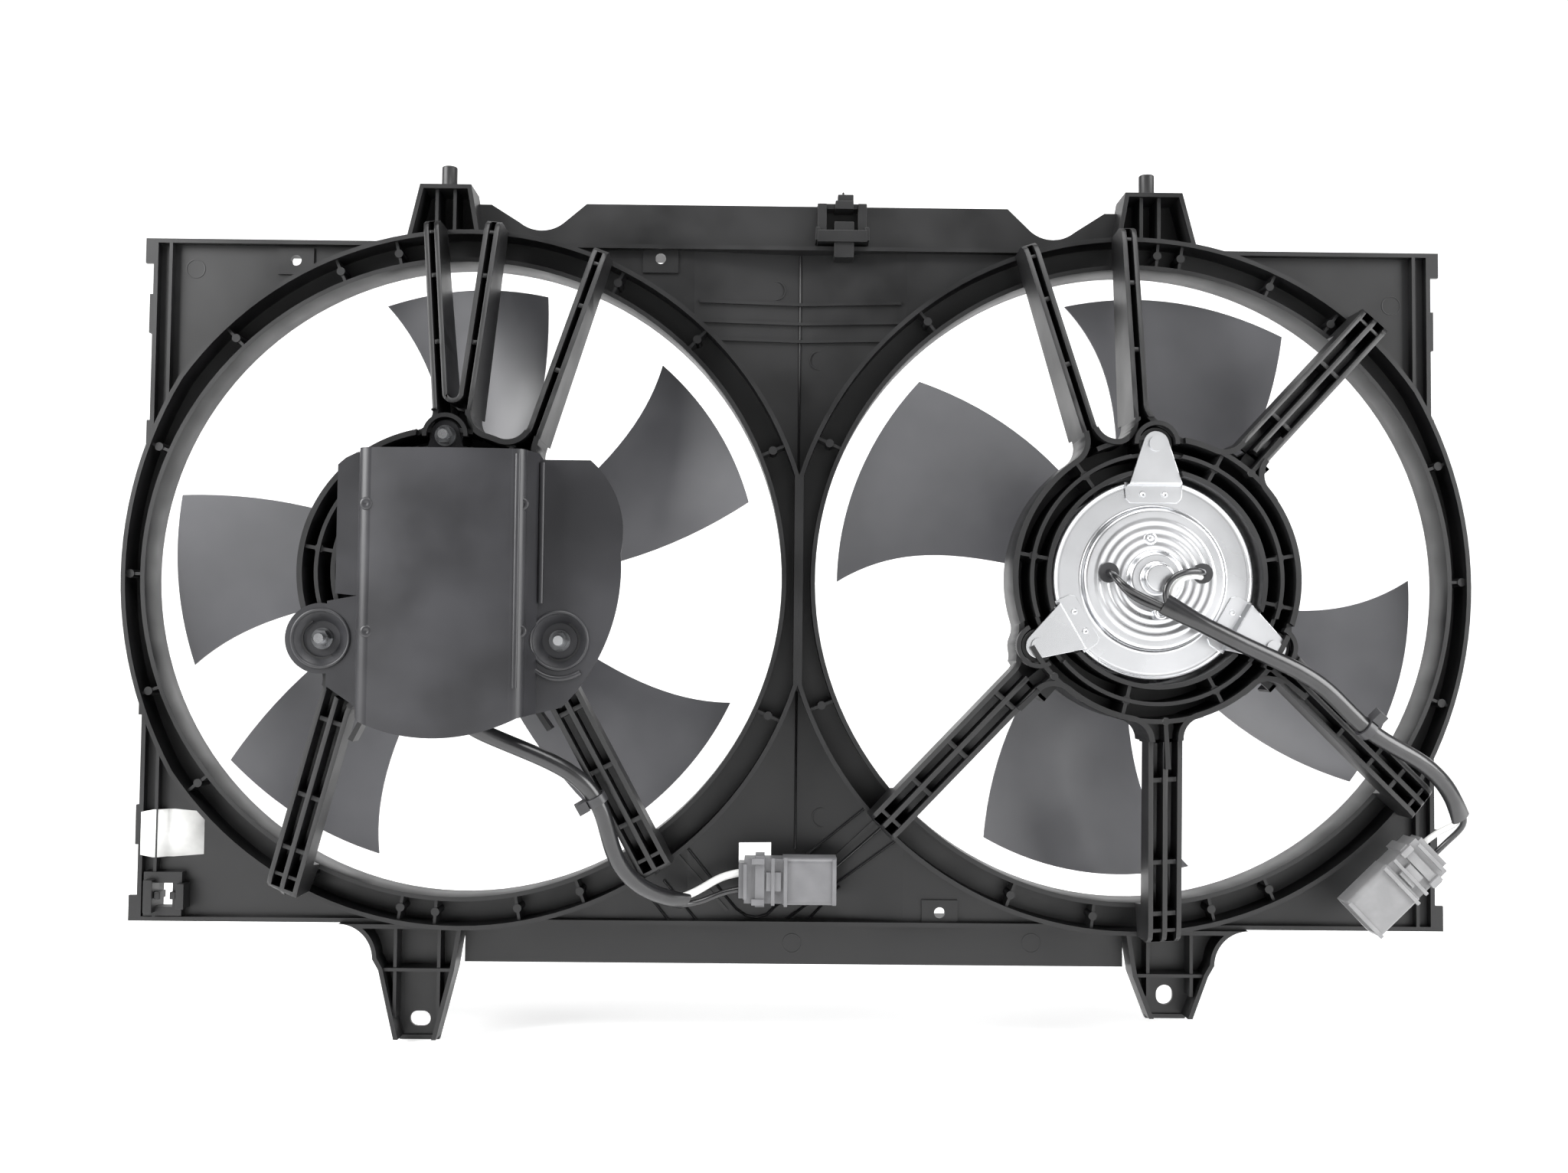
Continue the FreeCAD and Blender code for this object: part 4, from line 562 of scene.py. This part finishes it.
# the connectors' collar ribs, side lugs and mouth lips, told along and across each
connectorFaces = {
    # middle of the collar on the front face, direction towards the mouth, finish
    "left": ((-7.0, -8.2, -163.6), 0.0, "greyConnectorPbt"),
    "right": ((322.0, -25.2, -159.5), -135.8, "paleConnectorPbt"),
}
connectorParts = (
    # along, across, height above the face
    ((0.4, 2.4), (-13.2, 13.2), (-0.6, 1.3)), ((-6.4, -4.4), (-12.7, 12.7), (-0.6, 0.9)),
    ((-17, -10), (9.3, 12.6), (-0.6, 1.3)), ((-17, -10), (-12.6, -9.3), (-0.6, 1.3)),
    ((26.6, 28.8), (-12.5, 12.5), (-0.6, 0.4)),
    ((-21.5, -19.5), (-9.5, 9.5), (-0.6, 0.8)),
)
for side, (origin, turnDegrees, finish) in connectorFaces.items():
    mesh = bmesh.new()
    along = Matrix.Rotation(math.radians(-turnDegrees), 3, "Y") @ Vector((1, 0, 0))
    across = Matrix.Rotation(math.radians(-turnDegrees), 3, "Y") @ Vector((0, 0, 1))
    for (a0, a1), (c0, c1), (h0, h1) in connectorParts:
        corners = [spot(*origin) + (along * a + across * c) / 1000 + Vector((0, -h0 / 1000, 0))
                   for a, c in ((a0, c0), (a1, c0), (a1, c1), (a0, c1))]
        extrudeOutline(mesh, corners, (0, (h0 - h1) / 1000, 0), 0.0003)
    details = addPiece(side + "ConnectorLatch", mesh, finish, smoothAngle=40)

# jaws of the hose latch in the lower left corner
latchBars = (
    # across, depth, height
    ((-352.0, -348.8), (9.5, 19.0), (-178.5, -174.5)), ((-343.4, -340.2), (9.5, 19.0), (-178.5, -174.5)),
    ((-357.5, -352.5), (8.0, 19.0), (-186.0, -168.0)), ((-340.0, -335.5), (9.0, 19.0), (-184.0, -170.0)),
)
jaws = bmesh.new()
for x, y, z in latchBars:
    box(jaws, x, y, z)
jawPiece = addPiece("hoseLatchJaws", jaws, "shroudPolypropylene")
print("roots, shield pressings, connectors and latch made")


# small moulded marks on the shroud: ejector rings, and slanting ribs low on the middle web
plateDepth, bandDepth = 19.0, 23.0
webShape = dict(edge=plateDepth, valley=7.5, halfWidth=60)


def webDepth(x):
    # the middle web's front surface, a shallow V with its deepest line in the middle
    return webShape["edge"] + webShape["valley"] * max(0.0, 1 - abs(x) / webShape["halfWidth"])


ejectorRing = [(5.6, 0.1), (5.5, -0.12), (5.2, -0.2), (4.9, -0.12), (4.8, 0.1)]
ejectorPlaces = (
    # across, height, depth
    (-341.2, 173.1, plateDepth), (-13.8, 165.9, webDepth(13.8)), (11.0, 126.3, webDepth(11)),
    (14.6, -132.1, webDepth(14.6)), (-1.4, -202.0, bandDepth), (132.4, -200.9, bandDepth),
    (335.0, 160.0, plateDepth), (-345.0, -100.0, plateDepth), (338.0, -95.0, plateDepth),
)
marks = bmesh.new()
for x, z, y in ejectorPlaces:
    spinAbout(marks, spot(x, y, z), ejectorRing, steps=40)
ribRuns = (
    ((-59.4, -149.6), (-38.0, -176.6), (-32.5, -183.0), (-27.1, -186.7), (-21.4, -187.8), (-15.5, -186.3),
     (-10.6, -181.5), (21.5, -160.8), (48.9, -136.0)),
    ((-73.0, -167.0), (-52.6, -191.0)), ((-84.0, -172.0), (-68.3, -191.0)),
    ((39.7, -125.5), (6.8, -152.7)), ((56.1, -143.9), (-7.0, -191.0)), ((25.0, -170.0), (6.0, -191.0)),
)
for run in ribRuns:
    line = []
    for (xa, za), (xb, zb) in zip(run, run[1:]):
        for i in range(6):
            x, z = xa + (xb - xa) * i / 6, za + (zb - za) * i / 6
            line.append(spot(x, webDepth(x) - 0.3, z))
    line.append(spot(run[-1][0], webDepth(run[-1][0]) - 0.3, run[-1][1]))
    sweptTube(marks, line, lambda share: (0.0008, 0.0016), sides=8)
# the sharp valley down the middle of the web, above and below the rings' joint
for top, bottom in ((186.0, 62.0), (-62.0, -150.0)):
    sweptTube(marks, [spot(0, webDepth(0) - 0.1, top + (bottom - top) * i / 8) for i in range(9)],
              lambda share: (0.0007, 0.0009), sides=8)
marksPiece = addPiece("shroudRibsAndMarks", marks, "shroudPolypropylene", smoothAngle=50)

# the blank paper label, stuck over the left edge channel and down on to the plate
labelLine = ((-361.6, 13.75), (-354.6, 13.7), (-351.8, 14.6), (-348.6, 18.4), (-345.0, 18.8), (-328.4, 18.85))
labelShape = dict(top=-129.9, low=-156.2, corner=1.4)


def buildLabel(line, top, low, corner):
    # a strip grown upward from its lower edge, with its four corners cut
    mesh = bmesh.new()
    cuts = [corner] + [0] * (len(line) - 2) + [corner]
    lower = [mesh.verts.new(spot(x, y, low + cut)) for (x, y), cut in zip(line, cuts)]
    edges = [mesh.edges.new(pair) for pair in zip(lower, lower[1:])]
    grown = bmesh.ops.extrude_edge_only(mesh, edges=edges)
    for vert in [item for item in grown["geom"] if isinstance(item, bmesh.types.BMVert)]:
        atCorner = vert.co.z > spot(0, 0, low + 0.5).z
        vert.co.z = spot(0, 0, top).z - (corner / 1000 if atCorner else 0)
    return mesh


labelPiece = addPiece("blankLabel", buildLabel(labelLine, **labelShape), "labelPaper", smoothAngle=60)
paper = labelPiece.modifiers.new("paper", "SOLIDIFY")
paper.thickness = 0.00012
paper.offset = 0
print("clip, marks and label made")

# rounded moulding edges on the carried-over plastic, so that they catch the light
mouldedEdge = dict(weld=0.00001, width=0.00045, turn=40, words=("ring", "arms", "tower", "foot"))
for name, node in nodes.items():
    if any(word in name for word in mouldedEdge["words"]):
        weld = node.modifiers.new("joinFacets", "WELD")
        weld.merge_threshold = mouldedEdge["weld"]
        rounding = node.modifiers.new("mouldedEdge", "BEVEL")
        rounding.width = mouldedEdge["width"]
        rounding.segments = 2
        rounding.limit_method = "ANGLE"
        rounding.angle_limit = math.radians(mouldedEdge["turn"])
        rounding.use_clamp_overlap = True
        rounding.harden_normals = True

# the floor and the studio
floorSize = dict(width=6.0, depth=6.0, gap=0.0005, rise=2.6, bend=0.6)


def buildFloor(width, depth, gap, rise, bend):
    # a floor that sweeps up into a backdrop, extruded from one edge
    low = cadBox[0][2] - gap
    mesh = bmesh.new()
    ends = [mesh.verts.new((x, -depth / 2, low)) for x in (-width / 2, width / 2)]
    edge = mesh.edges.new(ends)
    steps = [(0, depth / 2 + 1.2, 0)]
    turns = 10
    for i in range(turns):
        angle = math.radians(90 * (i + 0.5) / turns)
        length = 2 * bend * math.sin(math.radians(45 / turns))
        steps.append((0, length * math.cos(angle), length * math.sin(angle)))
    steps.append((0, 0, rise))
    for step in steps:
        grown = bmesh.ops.extrude_edge_only(mesh, edges=[edge])
        edge = next(item for item in grown["geom"] if isinstance(item, bmesh.types.BMEdge))
        bmesh.ops.translate(mesh, verts=edge.verts, vec=step)
    bmesh.ops.recalc_face_normals(mesh, faces=mesh.faces)
    data = bpy.data.meshes.new("studioFloor")
    mesh.to_mesh(data)
    mesh.free()
    for face in data.polygons:
        face.use_smooth = True
    floor = bpy.data.objects.new("studioFloor", data)
    bpy.context.scene.collection.objects.link(floor)
    return floor


def paleSweep():
    # white seamless paper: the camera and the glossy rays see it evenly white, bar the shadow
    material, tree = newMaterial("whitePaper")
    path = addNode(tree, "LightPath")
    paper = addNode(tree, "BsdfDiffuse", {"Color": hexToLinear("#f4f4f4")})
    glow = addNode(tree, "Emission", {"Color": hexToLinear("#ffffff"), "Strength": 0.55})
    seen = addNode(tree, "Math", {0: path.outputs["Is Camera Ray"], 1: path.outputs["Is Glossy Ray"]},
                   operation="MAXIMUM")
    shown = addNode(tree, "AddShader", {0: paper.outputs[0], 1: glow.outputs[0]})
    mixed = addNode(tree, "MixShader", {0: seen.outputs[0], 1: paper.outputs[0], 2: shown.outputs[0]})
    addNode(tree, "OutputMaterial", {"Surface": mixed.outputs[0]})
    return material


floor = buildFloor(**floorSize)
floor.data.materials.append(paleSweep())

world = bpy.data.worlds.new("studioRoom")
world.use_nodes = True
world.node_tree.nodes.clear()
room = addNode(world.node_tree, "Background", {"Color": hexToLinear("#ffffff"), "Strength": 0.11})
addNode(world.node_tree, "OutputWorld", {"Surface": room.outputs[0]})
bpy.context.scene.world = world

# soft boxes: place, what each looks at, size in metres and power
lamps = {
    "keyBox": dict(at=(-1.05, -0.55, 0.25), aim=(-0.1, 0, -0.2), size=0.8, watts=27),
    "fillBox": dict(at=(1.15, -0.55, 0.10), aim=(0, 0, -0.22), size=0.9, watts=20),
    "topBox": dict(at=(0.1, -0.62, 1.05), aim=(0, 0, -0.2), size=1.0, watts=20),
    "frontCard": dict(at=(0.44, -1.10, -0.14), aim=(0.18, 0, -0.22), size=0.6, watts=1.0),
}
for name, lamp in lamps.items():
    data = bpy.data.lights.new(name, "AREA")
    data.shape = "SQUARE"
    data.size = lamp["size"]
    data.energy = lamp["watts"]
    light = bpy.data.objects.new(name, data)
    light.location = lamp["at"]
    towards = Vector(lamp["aim"]) - Vector(lamp["at"])
    light.rotation_euler = towards.to_track_quat("-Z", "Y").to_euler()
    bpy.context.scene.collection.objects.link(light)

# the camera stands in front of the engine side, a little below the fan axes
cameraPlace = dict(at=(-0.01367, -0.87903, -0.25967), yaw=-0.494, pitch=2.429, roll=-0.563, lens=36.035)


def buildCamera(at, yaw, pitch, roll, lens):
    data = bpy.data.cameras.new("studioCamera")
    data.sensor_width = 36.0
    data.lens = lens
    data.clip_start = 0.01
    camera = bpy.data.objects.new("studioCamera", data)
    camera.matrix_world = (
        Matrix.Translation(at)
        @ Matrix.Rotation(math.radians(yaw), 4, "Z")
        @ Matrix.Rotation(math.radians(pitch), 4, "X")
        @ Matrix.Rotation(math.radians(roll), 4, "Y")
        @ Matrix.Rotation(math.radians(90), 4, "X"))
    bpy.context.scene.collection.objects.link(camera)
    bpy.context.scene.camera = camera


buildCamera(**cameraPlace)
bpy.context.scene.view_settings.view_transform = "Standard"
print("floor, lamps and camera placed")
